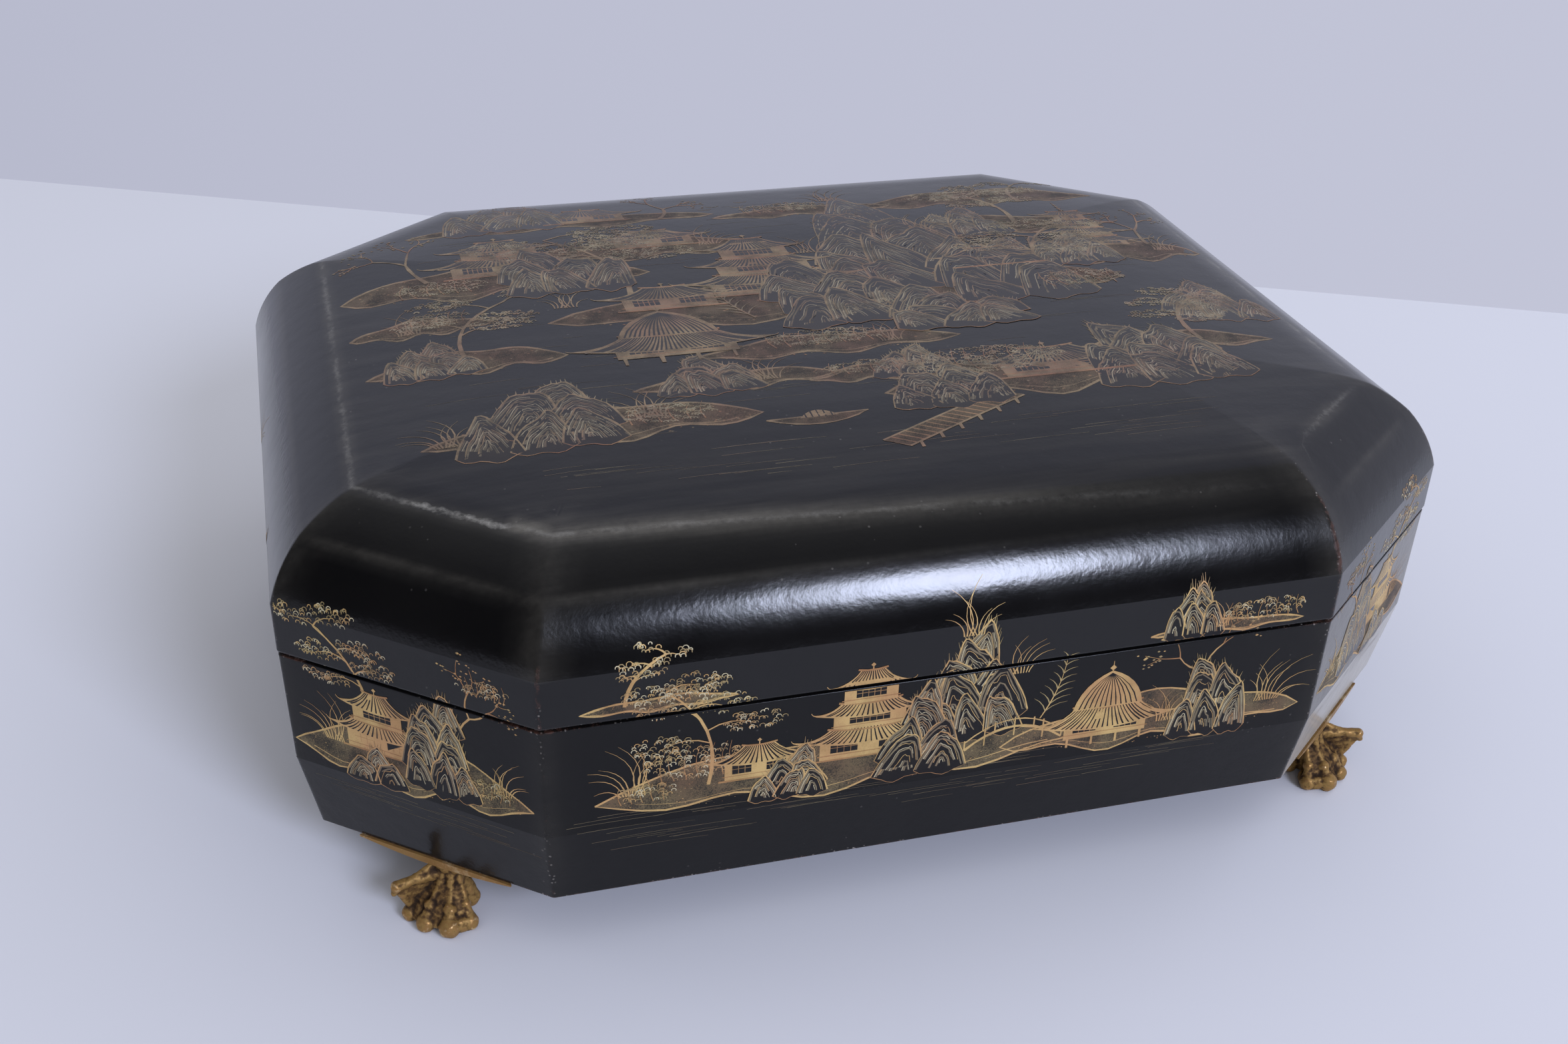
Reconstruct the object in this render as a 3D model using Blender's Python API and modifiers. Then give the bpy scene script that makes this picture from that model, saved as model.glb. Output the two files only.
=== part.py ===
"""Octagonal lacquer game box: a low casket on four carved paw feet with a
lift-off domed lid, six lidded counter boxes and twelve stacked counter trays.

The front faces -Y, +Z is up, and the origin is on the floor under the centre.
All lengths are in metres.
"""

import math

import bmesh
import bpy
from mathutils import Matrix, Vector

# Plan of the casket, measured over the crease of the lid
BOX_LENGTH = 0.380
BOX_WIDTH = 0.314
CORNER_RUN_X = 0.068
CORNER_RUN_Y = 0.056

# Heights, stacked from the floor upwards
FOOT_HEIGHT = 0.022
BEVEL_HEIGHT = 0.027
WALL_HEIGHT = 0.038
LID_BAND_HEIGHT = 0.017
SHOULDER_RISE = 0.030
CROWN_RISE = 0.0032

# How far each level of the outside lies inside the crease
BOTTOM_INSET = 0.0064
LOWER_CREASE_INSET = 0.0013
SEAM_INSET = 0.0004
LID_EDGE_INSET = 0.0001
SHOULDER_RUN = 0.0375

# Boards of the casket
WALL_THICKNESS = 0.0096
BOTTOM_THICKNESS = 0.007
LINING_THICKNESS = 0.0035
LIP_HEIGHT = 0.006
LIP_EASE = 0.001
EDGE_EASE = 0.0006

# Lid
PANEL_THICKNESS = 0.007
PANEL_LEDGE = 0.006
LEDGE_THICKNESS = 0.004
COVE_HEIGHT = 0.010
SHOULDER_STEPS = 8
CROWN_SETS = 3
CROWN_SET_WIDTH = 0.019

# Fits
CONTACT_GAP = 0.0003
BOX_PLAY = 0.0008

# Counter boxes, which end a little below the lip
COUNTER_DROP = 0.0037
COUNTER_LID_HEIGHT = 0.010
COUNTER_WALL = 0.0028
COUNTER_FLOOR = 0.003
COUNTER_LIP = 0.0012
COUNTER_LIP_HEIGHT = 0.0035
COUNTER_LID_TOP = 0.0028
COUNTER_EASE = 0.0008

# Counter trays, in stacks that end below the counter boxes
TRAY_SIZE = 0.078
STACK_DROP = 0.011
TRAY_WALL = 0.002
TRAY_FLOOR = 0.002
TRAY_EASE = 0.0005
TRAYS_IN_STACK = 3

# Carved feet: bent toes in a fan with webs between them, a raised claw, a heel
# and a leaf-shaped flange
ANKLE_SETBACK = 0.006
ANKLE_SHIFT = 0.002
ANKLE_RADIUS = 0.0040
ANKLE_TOP_RADIUS = 0.0062
TOE_REACH = 0.0138
PAD_RADIUS = 0.0030
KNUCKLE_RADIUS = 0.0020
TENDON_RADIUS = 0.0019
BEND_RADIUS = 0.0013
WEB_RADIUS = 0.0011
CLAW_REACH = 0.0185
CLAW_RADIUS = 0.0018
CLAW_BEND_RADIUS = 0.0015
CLAW_ROOT_RADIUS = 0.0026
CLAW_ROOT_REACH = 0.0020
CLAW_WEB_REACH = 0.0035
CLAW_DROP = 0.0020
HEEL_REACH = 0.0044
HEEL_RADIUS = 0.0033
SOLE_REACH = 0.0006
SOLE_RADIUS = 0.0046
SOLE_SAWN = 0.0006
FLANGE_LENGTH = 0.054
FLANGE_DEPTH = 0.019
FLANGE_THICKNESS = 0.0024
FLANGE_TIP_THICKNESS = 0.0005
FLANGE_PROUD = 0.0004
PAW_GRAIN = 0.0005
PAW_FACET_SHARE = 0.07
LIMB_SEGMENTS = 16
LIMB_RINGS = 8
FLANGE_SECTIONS = 9

# The fan of the foot: angles in degrees from straight outwards, positive
# towards the long side of the casket, with each toe's share of the reach and
# of the radii of knuckle and pad
TOE_FAN_SHARES = ((54, 0.87, 0.85, 0.93), (26, 1.00, 1.05, 1.13),
                  (-8, 0.985, 1.00, 1.00), (-38, 1.04, 0.90, 0.90))
CLAW_ANGLE = -33
CLAW_WEB_ANGLE = -39
HEEL_ANGLE = 120

# Shares of a toe's or the claw's reach, and of the height of the foot
KNUCKLE_REACH_SHARE = 0.80
BEND_REACH_SHARE = 0.45
TENDON_REACH_SHARE = 0.26
PAD_REACH_SHARE = 0.70
CLAW_BEND_SHARE = 0.72
ANKLE_HEIGHT_SHARE = 0.68
KNUCKLE_HEIGHT_SHARE = 0.33
BEND_HEIGHT_SHARE = 0.54
TENDON_HEIGHT_SHARE = 0.79
CLAW_HEIGHT_SHARE = 0.68

# Levels worked out from the heights
UNDERSIDE_Z = FOOT_HEIGHT
LOWER_CREASE_Z = UNDERSIDE_Z + BEVEL_HEIGHT
SEAM_Z = LOWER_CREASE_Z + WALL_HEIGHT
CREASE_Z = SEAM_Z + LID_BAND_HEIGHT
SHOULDER_TOP_Z = CREASE_Z + SHOULDER_RISE
FLOOR_Z = UNDERSIDE_Z + BOTTOM_THICKNESS
SEAT_Z = FLOOR_Z + CONTACT_GAP
LIP_TOP_Z = SEAM_Z + LIP_HEIGHT
COUNTER_TOP_Z = LIP_TOP_Z - COUNTER_DROP
COUNTER_RIM_Z = COUNTER_TOP_Z - COUNTER_LID_HEIGHT
TRAY_PITCH = (COUNTER_TOP_Z - STACK_DROP - SEAT_Z) / TRAYS_IN_STACK
TRAY_HEIGHT = TRAY_PITCH - CONTACT_GAP

# Depths of the nested boards behind the crease
WALL_INNER = SEAM_INSET + WALL_THICKNESS
LINING_OUTER = WALL_INNER + CONTACT_GAP
LINING_INNER = LINING_OUTER + LINING_THICKNESS

# Sides in order round the plan, counter-clockwise from the front
SIDES = ("front", "front_right", "right", "back_right",
         "back", "back_left", "left", "front_left")

UP = Vector((0, 0, 1))


# Plan geometry

def casket_outline():
    """Corners of the octagon over the crease; corner i starts side i."""
    x, y = BOX_LENGTH / 2, BOX_WIDTH / 2
    near_x, near_y = x - CORNER_RUN_X, y - CORNER_RUN_Y
    return [Vector(p) for p in (
        (-near_x, -y), (near_x, -y), (x, -near_y), (x, near_y),
        (near_x, y), (-near_x, y), (-x, near_y), (-x, -near_y))]


def side_directions(outline):
    """Unit vectors along each side of a counter-clockwise outline."""
    count = len(outline)
    return [(outline[(i + 1) % count] - outline[i]).normalized()
            for i in range(count)]


def inward(along):
    return Vector((-along.y, along.x))


def inset_outline(outline, distance):
    """The outline with every side moved in by the same distance."""
    along = side_directions(outline)
    corners = []
    for i, point in enumerate(outline):
        before, after = inward(along[i - 1]), inward(along[i])
        corners.append(point + (before + after) * distance / (1 + before.dot(after)))
    return corners


def rectangle(centre, half_x, half_y):
    """Corners of an upright rectangle, counter-clockwise."""
    return [centre + Vector((half_x * x, half_y * y))
            for x, y in ((-1, -1), (1, -1), (1, 1), (-1, 1))]


CASKET = casket_outline()


# Making objects

def new_collection(name):
    collection = bpy.data.collections.new(name)
    bpy.context.scene.collection.children.link(collection)
    return collection


def make_material(name, color, roughness, metallic=0.0):
    material = bpy.data.materials.new(name)
    material.use_nodes = True
    shader = material.node_tree.nodes["Principled BSDF"]
    shader.inputs["Base Color"].default_value = (*color, 1)
    shader.inputs["Roughness"].default_value = roughness
    shader.inputs["Metallic"].default_value = metallic
    material.diffuse_color = (*color, 1)
    return material


def finish_mesh(name, bm):
    """Turn a bmesh into a mesh whose faces all point outwards."""
    bmesh.ops.recalc_face_normals(bm, faces=bm.faces)
    mesh = bpy.data.meshes.new(name)
    bm.to_mesh(mesh)
    bm.free()
    return mesh


def add_object(name, bm, material, collection, origin, parent=None):
    """Turn a bmesh drawn in world space into an object with its own origin."""
    bmesh.ops.translate(bm, verts=bm.verts, vec=-origin)
    mesh = finish_mesh(name, bm)
    mesh.materials.append(material)
    obj = bpy.data.objects.new(name, mesh)
    collection.objects.link(obj)
    place(obj, origin, parent)
    return obj


def add_empty(name, collection, origin):
    empty = bpy.data.objects.new(name, None)
    collection.objects.link(empty)
    place(empty, origin)
    return empty


def place(obj, origin, parent=None):
    """Set an object down at a world position, under a parent that never turns."""
    obj["origin"] = origin
    obj.parent = parent
    obj.location = origin - Vector(parent["origin"]) if parent else origin


# Solid shapes

def prism(outline, low, high):
    """An upright block on an outline; returns its bmesh and its top face."""
    bm = bmesh.new()
    face = bm.faces.new([bm.verts.new((p.x, p.y, low)) for p in outline])
    top = sweep_face(bm, face, UP * (high - low))
    return bm, top


def sweep_face(bm, face, sweep):
    """Extrude a copy of a face along a vector and return the moved copy."""
    made = bmesh.ops.extrude_face_region(bm, geom=[face])["geom"]
    moved = [item for item in made if isinstance(item, bmesh.types.BMVert)]
    bmesh.ops.translate(bm, verts=moved, vec=sweep)
    bm.normal_update()
    return next(item for item in made if isinstance(item, bmesh.types.BMFace))


def step_face(bm, face, inset, rise):
    """Set a face in from its edges, then raise or sink what is left of it."""
    bmesh.ops.inset_region(bm, faces=[face], thickness=inset, use_even_offset=True)
    moved = sweep_face(bm, face, UP * rise)
    bmesh.ops.delete(bm, geom=[face], context="FACES_ONLY")
    return moved


def ease_top(bm, face, ease):
    """Take the sharp edge off a top face with a small chamfer."""
    bmesh.ops.inset_region(bm, faces=[face], thickness=ease, depth=ease,
                           use_even_offset=True)
    bm.normal_update()


def loft(rings):
    """A solid through cross-sections that all have the same number of points."""
    bm = bmesh.new()
    loops = [[bm.verts.new(point) for point in ring] for ring in rings]
    count = len(loops[0])
    for near, far in zip(loops, loops[1:]):
        for i in range(count):
            bm.faces.new((near[i - 1], near[i], far[i], far[i - 1]))
    bm.faces.new(loops[0])
    bm.faces.new(loops[-1])
    return bm


def mitred_board(side, profile):
    """A board along one side of the casket, sawn off at both mitre planes.

    The profile is a closed list of (depth behind the crease, height) points.
    """
    count = len(CASKET)
    along = side_directions(CASKET)
    start, end = CASKET[side], CASKET[(side + 1) % count]
    into = inward(along[side])
    overrun = along[side] * BOX_LENGTH
    bm = bmesh.new()
    ring = []
    for depth, height in profile:
        point = start - overrun + into * depth
        ring.append(bm.verts.new((point.x, point.y, height)))
    sweep_face(bm, bm.faces.new(ring), (end - start + overrun * 2).to_3d())
    for corner, neighbour, way in ((start, along[side - 1], -1),
                                   (end, along[(side + 1) % count], 1)):
        outward = (along[side] + neighbour).normalized() * way
        saw_off(bm, (corner - outward * CONTACT_GAP / 2).to_3d(), outward.to_3d())
    return bm


def saw_off(bm, point, outward):
    """Cut away all that lies outward of a plane and close the cut."""
    cut = bmesh.ops.bisect_plane(
        bm, geom=bm.verts[:] + bm.edges[:] + bm.faces[:],
        plane_co=point, plane_no=outward, clear_outer=True)["geom_cut"]
    edges = [item for item in cut if isinstance(item, bmesh.types.BMEdge)]
    bmesh.ops.edgeloop_fill(bm, edges=edges)


# Casket boards

def wall_profile():
    """Outer wall: a canted bevel below a nearly upright face."""
    return [
        (BOTTOM_INSET, UNDERSIDE_Z),
        (LOWER_CREASE_INSET, LOWER_CREASE_Z),
        (SEAM_INSET, SEAM_Z - EDGE_EASE),
        (SEAM_INSET + EDGE_EASE, SEAM_Z),
        (WALL_INNER, SEAM_Z),
        (WALL_INNER, UNDERSIDE_Z),
    ]


def lining_profile():
    """Thin lining that stands above the seam as the lip of the lid."""
    return [
        (LINING_OUTER, SEAT_Z),
        (LINING_OUTER, LIP_TOP_Z - LIP_EASE),
        (LINING_OUTER + LIP_EASE, LIP_TOP_Z),
        (LINING_INNER, LIP_TOP_Z),
        (LINING_INNER, SEAT_Z),
    ]


def shoulder_points():
    """The round shoulder: an arc from the crease, level where it meets the top."""
    radius = (SHOULDER_RUN ** 2 + SHOULDER_RISE ** 2) / (2 * SHOULDER_RISE)
    start = math.asin((radius - SHOULDER_RISE) / radius)
    points = []
    for step in range(SHOULDER_STEPS + 1):
        angle = start + (math.pi / 2 - start) * step / SHOULDER_STEPS
        points.append((SHOULDER_RUN - radius * math.cos(angle),
                       SHOULDER_TOP_Z - radius + radius * math.sin(angle)))
    return points


def lid_rail_profile():
    """Lid rail: upright band, round shoulder, ledge for the panel and a cove."""
    low = SEAM_Z + CONTACT_GAP
    ledge_z = SHOULDER_TOP_Z - PANEL_THICKNESS - CONTACT_GAP
    return [
        (WALL_INNER, low),
        (LID_EDGE_INSET + EDGE_EASE, low),
        (LID_EDGE_INSET, low + EDGE_EASE),
        *shoulder_points(),
        (SHOULDER_RUN, ledge_z),
        (SHOULDER_RUN + PANEL_LEDGE, ledge_z),
        (SHOULDER_RUN + PANEL_LEDGE, ledge_z - LEDGE_THICKNESS),
        (WALL_INNER, CREASE_Z + COVE_HEIGHT),
    ]


def lid_panel():
    """Top panel: an octagon that swells a little towards its middle."""
    outline = inset_outline(CASKET, SHOULDER_RUN + CONTACT_GAP)
    bm, top = prism(outline, SHOULDER_TOP_Z - PANEL_THICKNESS, SHOULDER_TOP_Z)
    for step in range(CROWN_SETS):
        share = (2 * (CROWN_SETS - step) - 1) / CROWN_SETS ** 2
        bmesh.ops.inset_region(bm, faces=[top], thickness=CROWN_SET_WIDTH,
                               depth=CROWN_RISE * share, use_even_offset=True)
        bm.normal_update()
    return bm


# Counter boxes and trays

def counter_places():
    """Plan outlines of the six counter boxes, by name."""
    block = TRAY_SIZE + BOX_PLAY / 2
    near = block + BOX_PLAY
    inner = inset_outline(CASKET, LINING_INNER + BOX_PLAY)
    far_x, far_y = inner[2].x, inner[4].y
    cant_x, cant_y = inner[4].x, inner[3].y
    middle = BOX_PLAY / 2
    places = {}
    for end, sy in (("front", -1), ("back", 1)):
        for hand, sx in (("left", -1), ("right", 1)):
            corners = [(near, middle), (far_x, middle), (far_x, cant_y),
                       (cant_x, far_y), (near, far_y)]
            places[f"{end}_{hand}"] = [Vector((sx * x, sy * y)) for x, y in corners]
            if sx * sy < 0:
                places[f"{end}_{hand}"].reverse()
        centre = Vector((0, sy * (near + far_y) / 2))
        places[end] = rectangle(centre, block, (far_y - near) / 2)
    return places


def middle_of(outline):
    return sum(outline, Vector((0, 0))) / len(outline)


def counter_box(outline):
    """Open box whose inner lip stands up inside its own lid."""
    bm, top = prism(outline, SEAT_Z, COUNTER_RIM_Z)
    lip = step_face(bm, top, COUNTER_WALL - COUNTER_LIP, COUNTER_LIP_HEIGHT)
    floor_z = SEAT_Z + COUNTER_FLOOR
    step_face(bm, lip, COUNTER_LIP, floor_z - COUNTER_RIM_Z - COUNTER_LIP_HEIGHT)
    return bm


def counter_lid(outline):
    """Shallow cap that drops over the lip of a counter box."""
    low = COUNTER_RIM_Z + CONTACT_GAP
    bm, top = prism(outline, low, COUNTER_TOP_Z - COUNTER_EASE)
    ease_top(bm, top, COUNTER_EASE)
    bottom = min(bm.faces, key=lambda face: face.calc_center_median().z)
    skirt = COUNTER_WALL - COUNTER_LIP - CONTACT_GAP
    step_face(bm, bottom, skirt, COUNTER_TOP_Z - COUNTER_LID_TOP - low)
    return bm


def stack_places():
    """Centres of the four stacks of trays, by name."""
    offset = (TRAY_SIZE + BOX_PLAY) / 2
    return {f"{end}_{hand}": Vector((sx * offset, sy * offset))
            for end, sy in (("front", -1), ("back", 1))
            for hand, sx in (("left", -1), ("right", 1))}


def counter_tray(centre, low):
    """Shallow square tray with thin walls."""
    outline = rectangle(centre, TRAY_SIZE / 2, TRAY_SIZE / 2)
    bm, top = prism(outline, low, low + TRAY_HEIGHT - TRAY_EASE)
    ease_top(bm, top, TRAY_EASE)
    step_face(bm, top, TRAY_WALL - TRAY_EASE, TRAY_FLOOR - TRAY_HEIGHT)
    return bm


# Carved feet. A foot is drawn with X along its canted corner towards the long
# side, Y outwards and Z up, from the floor under the lower edge of the corner.

def ball_points(centre, radius):
    """Vertices of a ball, as a cloud for a hull."""
    bm = bmesh.new()
    bmesh.ops.create_uvsphere(bm, u_segments=LIMB_SEGMENTS, v_segments=LIMB_RINGS,
                              radius=radius)
    points = [centre + vert.co for vert in bm.verts]
    bm.free()
    return points


def add_limb(bm, *balls):
    """Add a limb or a web: the hull of some balls, each given as (centre, radius)."""
    points = []
    for centre, radius in balls:
        points += [bm.verts.new(point) for point in ball_points(centre, radius)]
    hull = bmesh.ops.convex_hull(bm, input=points)
    spare = {item for item in hull["geom_interior"] + hull["geom_unused"]
             if isinstance(item, bmesh.types.BMVert)}
    bmesh.ops.delete(bm, geom=list(spare), context="VERTS")


def flange():
    """Leaf-shaped flange, glued under the casket: thick at the ankle, thin at its tips."""
    high = FOOT_HEIGHT - CONTACT_GAP
    swell = FLANGE_THICKNESS - FLANGE_TIP_THICKNESS
    rings = []
    for section in range(FLANGE_SECTIONS):
        across = 2 * section / (FLANGE_SECTIONS - 1) - 1
        leaf = math.cos(across * math.pi / 2)
        x = across * FLANGE_LENGTH / 2
        back = FLANGE_PROUD - FLANGE_TIP_THICKNESS - (FLANGE_DEPTH - FLANGE_PROUD) * leaf
        low = high - FLANGE_TIP_THICKNESS - swell * leaf
        rings.append(((x, FLANGE_PROUD, low), (x, FLANGE_PROUD, high),
                      (x, back, high), (x, back, low)))
    return loft(rings)


def foot_point(angle, reach, height):
    """A point on the fan of the foot, round the upright line of its ankle."""
    turn = math.radians(angle)
    return Vector((ANKLE_SHIFT + reach * math.sin(turn),
                   reach * math.cos(turn) - ANKLE_SETBACK, height))


def toe_limbs():
    """The toes as groups of balls, with the centres of their bends, knuckles and pads."""
    limbs, bends, knuckles, pads = [], [], [], []
    tendon_z = FOOT_HEIGHT * TENDON_HEIGHT_SHARE
    bend_z = FOOT_HEIGHT * BEND_HEIGHT_SHARE
    knuckle_z = FOOT_HEIGHT * KNUCKLE_HEIGHT_SHARE
    for angle, reach_share, knuckle_share, pad_share in TOE_FAN_SHARES:
        reach = TOE_REACH * reach_share
        pad_radius = PAD_RADIUS * pad_share
        knuckle_radius = KNUCKLE_RADIUS * knuckle_share
        pad_z = pad_radius - SOLE_SAWN
        tendon = foot_point(angle, reach * TENDON_REACH_SHARE, tendon_z)
        bends.append(foot_point(angle, reach * BEND_REACH_SHARE, bend_z))
        knuckles.append(foot_point(angle, reach * KNUCKLE_REACH_SHARE, knuckle_z))
        pads.append(foot_point(angle, reach, pad_z))
        pad_back = foot_point(angle, reach * PAD_REACH_SHARE, pad_z)
        limbs += [((tendon, TENDON_RADIUS), (bends[-1], BEND_RADIUS)),
                  ((bends[-1], BEND_RADIUS), (knuckles[-1], BEND_RADIUS)),
                  ((knuckles[-1], knuckle_radius), (pads[-1], pad_radius)),
                  ((pads[-1], pad_radius), (pad_back, pad_radius))]
    return limbs, bends, knuckles, pads


def foot_limbs():
    """The paw as groups of balls, each group the corners of a limb or a web."""
    flange_z = FOOT_HEIGHT - CONTACT_GAP - FLANGE_THICKNESS
    ankle = (foot_point(0, 0, FOOT_HEIGHT * ANKLE_HEIGHT_SHARE), ANKLE_RADIUS)
    ankle_top = (foot_point(0, 0, flange_z), ANKLE_TOP_RADIUS)
    sole = (foot_point(0, SOLE_REACH, SOLE_RADIUS - SOLE_SAWN), SOLE_RADIUS)
    heel = (foot_point(HEEL_ANGLE, HEEL_REACH, HEEL_RADIUS - SOLE_SAWN), HEEL_RADIUS)
    limbs, bends, knuckles, pads = toe_limbs()
    limbs += [(ankle, ankle_top), (ankle, sole), (ankle, heel)]
    for i in range(len(pads) - 1):
        web = bends[i:i + 2] + knuckles[i:i + 2] + pads[i:i + 2]
        limbs.append([(corner, WEB_RADIUS) for corner in web])
    limbs.append(((pads[0], SOLE_RADIUS / 2), (pads[1], SOLE_RADIUS / 2)))
    claw_z = FOOT_HEIGHT * CLAW_HEIGHT_SHARE
    claw_root = (foot_point(CLAW_ANGLE, CLAW_ROOT_REACH, claw_z), CLAW_ROOT_RADIUS)
    claw_tip = (foot_point(CLAW_ANGLE, CLAW_REACH, claw_z), CLAW_RADIUS)
    nail = (claw_tip[0] - UP * CLAW_DROP, CLAW_RADIUS / 2)
    claw_bend = (claw_root[0].lerp(claw_tip[0], CLAW_BEND_SHARE), CLAW_BEND_RADIUS)
    claw_web = (foot_point(CLAW_WEB_ANGLE, CLAW_WEB_REACH, flange_z), WEB_RADIUS)
    limbs += [(claw_root, claw_bend), (claw_bend, claw_tip), (claw_tip, nail),
              (claw_web, claw_bend, claw_root)]
    limbs.append([(corner, WEB_RADIUS) for corner in (claw_bend[0], claw_tip[0], bends[-1],
                                                      knuckles[-1], pads[-1])])
    return limbs


def boolean(body, operation, tool):
    """Cut or join a closed tool with the body; the body keeps the modifier."""
    tool.hide_render = True
    tool.display_type = "WIRE"
    modifier = body.modifiers.new(tool.name, "BOOLEAN")
    modifier.operation = operation
    modifier.solver = "EXACT"
    modifier.object = tool


def carve_foot():
    """The paw: its limbs melted into one skin, sawn off and set into the flange."""
    limbs = bmesh.new()
    for ends in foot_limbs():
        add_limb(limbs, *ends)
    span = rectangle(Vector((0, 0)), FLANGE_LENGTH, FLANGE_LENGTH)
    socket_z = FOOT_HEIGHT - CONTACT_GAP - FLANGE_THICKNESS / 2
    shapes = {"paw_limbs": limbs,
              "paw_span": prism(span, 0, socket_z)[0],
              "paw_flange": flange()}
    workshop = new_collection("cutters")
    pieces = []
    for name, bm in shapes.items():
        pieces.append(bpy.data.objects.new(name, finish_mesh(name, bm)))
        workshop.objects.link(pieces[-1])
    paw, span, leaf = pieces
    skin = paw.modifiers.new("skin", "REMESH")
    skin.mode = "VOXEL"
    skin.voxel_size = PAW_GRAIN
    facets = paw.modifiers.new("facets", "DECIMATE")
    facets.ratio = PAW_FACET_SHARE
    boolean(paw, "INTERSECT", span)
    boolean(paw, "UNION", leaf)
    graph = bpy.context.evaluated_depsgraph_get()
    mesh = bpy.data.meshes.new_from_object(paw.evaluated_get(graph))
    for piece in pieces:
        bpy.data.objects.remove(piece)
    bpy.data.collections.remove(workshop)
    bm = bmesh.new()
    bm.from_mesh(mesh)
    bpy.data.meshes.remove(mesh)
    return bm


def foot_frame(side):
    """Matrix from a foot's own frame to the world, on its canted corner."""
    edge = inset_outline(CASKET, BOTTOM_INSET)
    start, end = edge[side], edge[(side + 1) % len(edge)]
    along = (end - start).normalized()
    outward = -inward(along)
    if along.x * outward.x > 0:
        along = -along
    middle = (start + end) / 2
    frame = Matrix.Identity(4)
    frame.col[0][:2] = along
    frame.col[1][:2] = outward
    frame.translation = (middle.x, middle.y, 0)
    return frame


# Assembly. The groups that follow are put together in the order of the real box.

def add_casket(casket, lacquer, inside):
    """Base walls, their lining, and the bottom board between them."""
    for side, where in enumerate(SIDES):
        start, end = CASKET[side], CASKET[(side + 1) % len(CASKET)]
        middle = ((start + end) / 2).to_3d()
        wall = mitred_board(side, wall_profile())
        add_object(f"base_wall_{where}", wall, lacquer, casket, middle + UP * UNDERSIDE_Z)
        lining = mitred_board(side, lining_profile())
        add_object(f"lining_{where}", lining, inside, casket, middle + UP * FLOOR_Z)
    bottom = prism(inset_outline(CASKET, LINING_OUTER), UNDERSIDE_Z, FLOOR_Z)[0]
    add_object("base_bottom", bottom, inside, casket, UP * UNDERSIDE_Z)


def add_feet(casket, gilt):
    """One paw under each canted corner, mirrored so that the claws face the ends."""
    pattern = carve_foot()
    for side, where in enumerate(SIDES):
        if "_" in where:
            frame = foot_frame(side)
            foot = pattern.copy()
            bmesh.ops.transform(foot, matrix=frame, verts=foot.verts)
            add_object(f"foot_{where}", foot, gilt, casket, frame.translation)
    pattern.free()


def add_lid(casket, lacquer):
    """Eight rails and the top panel, all carried by the empty that lifts."""
    lift = add_empty("lid_lift", casket, UP * SEAM_Z)
    for side, where in enumerate(SIDES):
        rail = mitred_board(side, lid_rail_profile())
        middle = ((CASKET[side] + CASKET[(side + 1) % len(CASKET)]) / 2).to_3d()
        add_object(f"lid_rail_{where}", rail, lacquer, casket, middle + UP * SEAM_Z, lift)
    add_object("lid_top_panel", lid_panel(), lacquer, casket, UP * SHOULDER_TOP_Z, lift)


def add_counter_boxes(casket, lacquer):
    """Six boxes, each carrying its own lift-off lid."""
    for where, outline in counter_places().items():
        middle = middle_of(outline).to_3d()
        box = add_object(f"counter_box_{where}", counter_box(outline), lacquer, casket,
                         middle + UP * SEAT_Z)
        add_object(f"counter_lid_{where}", counter_lid(outline), lacquer, casket,
                   middle + UP * COUNTER_RIM_Z, box)


def add_trays(casket, lacquer):
    """Four stacks of trays, each tray carried by the one below it."""
    for where, centre in stack_places().items():
        below = None
        for level in range(TRAYS_IN_STACK):
            low = SEAT_Z + level * TRAY_PITCH
            below = add_object(f"counter_tray_{where}_{level + 1}",
                               counter_tray(centre, low), lacquer, casket,
                               centre.to_3d() + UP * low, below)


def build():
    for obj in list(bpy.data.objects):
        bpy.data.objects.remove(obj)
    casket = new_collection("game_box")
    black = make_material("black_lacquer", (0.012, 0.011, 0.012), 0.28)
    inside = make_material("inner_lacquer", (0.020, 0.013, 0.011), 0.45)
    gilt = make_material("dark_gilding", (0.42, 0.25, 0.09), 0.42, 0.7)
    counter = make_material("counter_lacquer", (0.014, 0.012, 0.012), 0.32)
    tray = make_material("tray_lacquer", (0.030, 0.012, 0.009), 0.38)
    add_casket(casket, black, inside)
    add_feet(casket, gilt)
    add_lid(casket, black)
    add_counter_boxes(casket, counter)
    add_trays(casket, tray)


build()
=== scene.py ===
import math
import random

import bmesh
import bpy
from mathutils import Matrix, Vector
from mathutils.bvhtree import BVHTree
from mathutils.geometry import tessellate_polygon


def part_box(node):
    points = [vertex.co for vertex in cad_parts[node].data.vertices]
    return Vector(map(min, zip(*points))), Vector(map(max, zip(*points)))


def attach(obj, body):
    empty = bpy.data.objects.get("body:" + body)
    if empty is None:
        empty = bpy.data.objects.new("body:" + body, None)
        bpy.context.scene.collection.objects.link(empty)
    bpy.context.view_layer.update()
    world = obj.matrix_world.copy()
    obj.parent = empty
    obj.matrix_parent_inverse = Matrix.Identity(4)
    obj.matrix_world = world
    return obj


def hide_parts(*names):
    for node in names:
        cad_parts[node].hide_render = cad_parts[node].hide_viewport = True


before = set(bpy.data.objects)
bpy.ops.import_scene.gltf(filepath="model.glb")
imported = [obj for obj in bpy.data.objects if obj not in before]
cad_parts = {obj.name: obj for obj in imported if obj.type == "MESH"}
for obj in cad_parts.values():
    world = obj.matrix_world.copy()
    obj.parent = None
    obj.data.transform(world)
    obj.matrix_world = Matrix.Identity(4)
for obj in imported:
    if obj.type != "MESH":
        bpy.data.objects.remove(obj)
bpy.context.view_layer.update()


# The room. The box stands on a pale table in front of a pale wall. Soft light falls from
# above and from the back, and a wide low window stands at the front right.

CAMERA_PLACE = (-0.16863, -0.55402, 0.38466)
CAMERA_HEADING = math.radians(-16.133)
CAMERA_TILT = math.radians(30.07)
CAMERA_ROLL = math.radians(1.53)
CAMERA_LENS = 41.19

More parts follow.
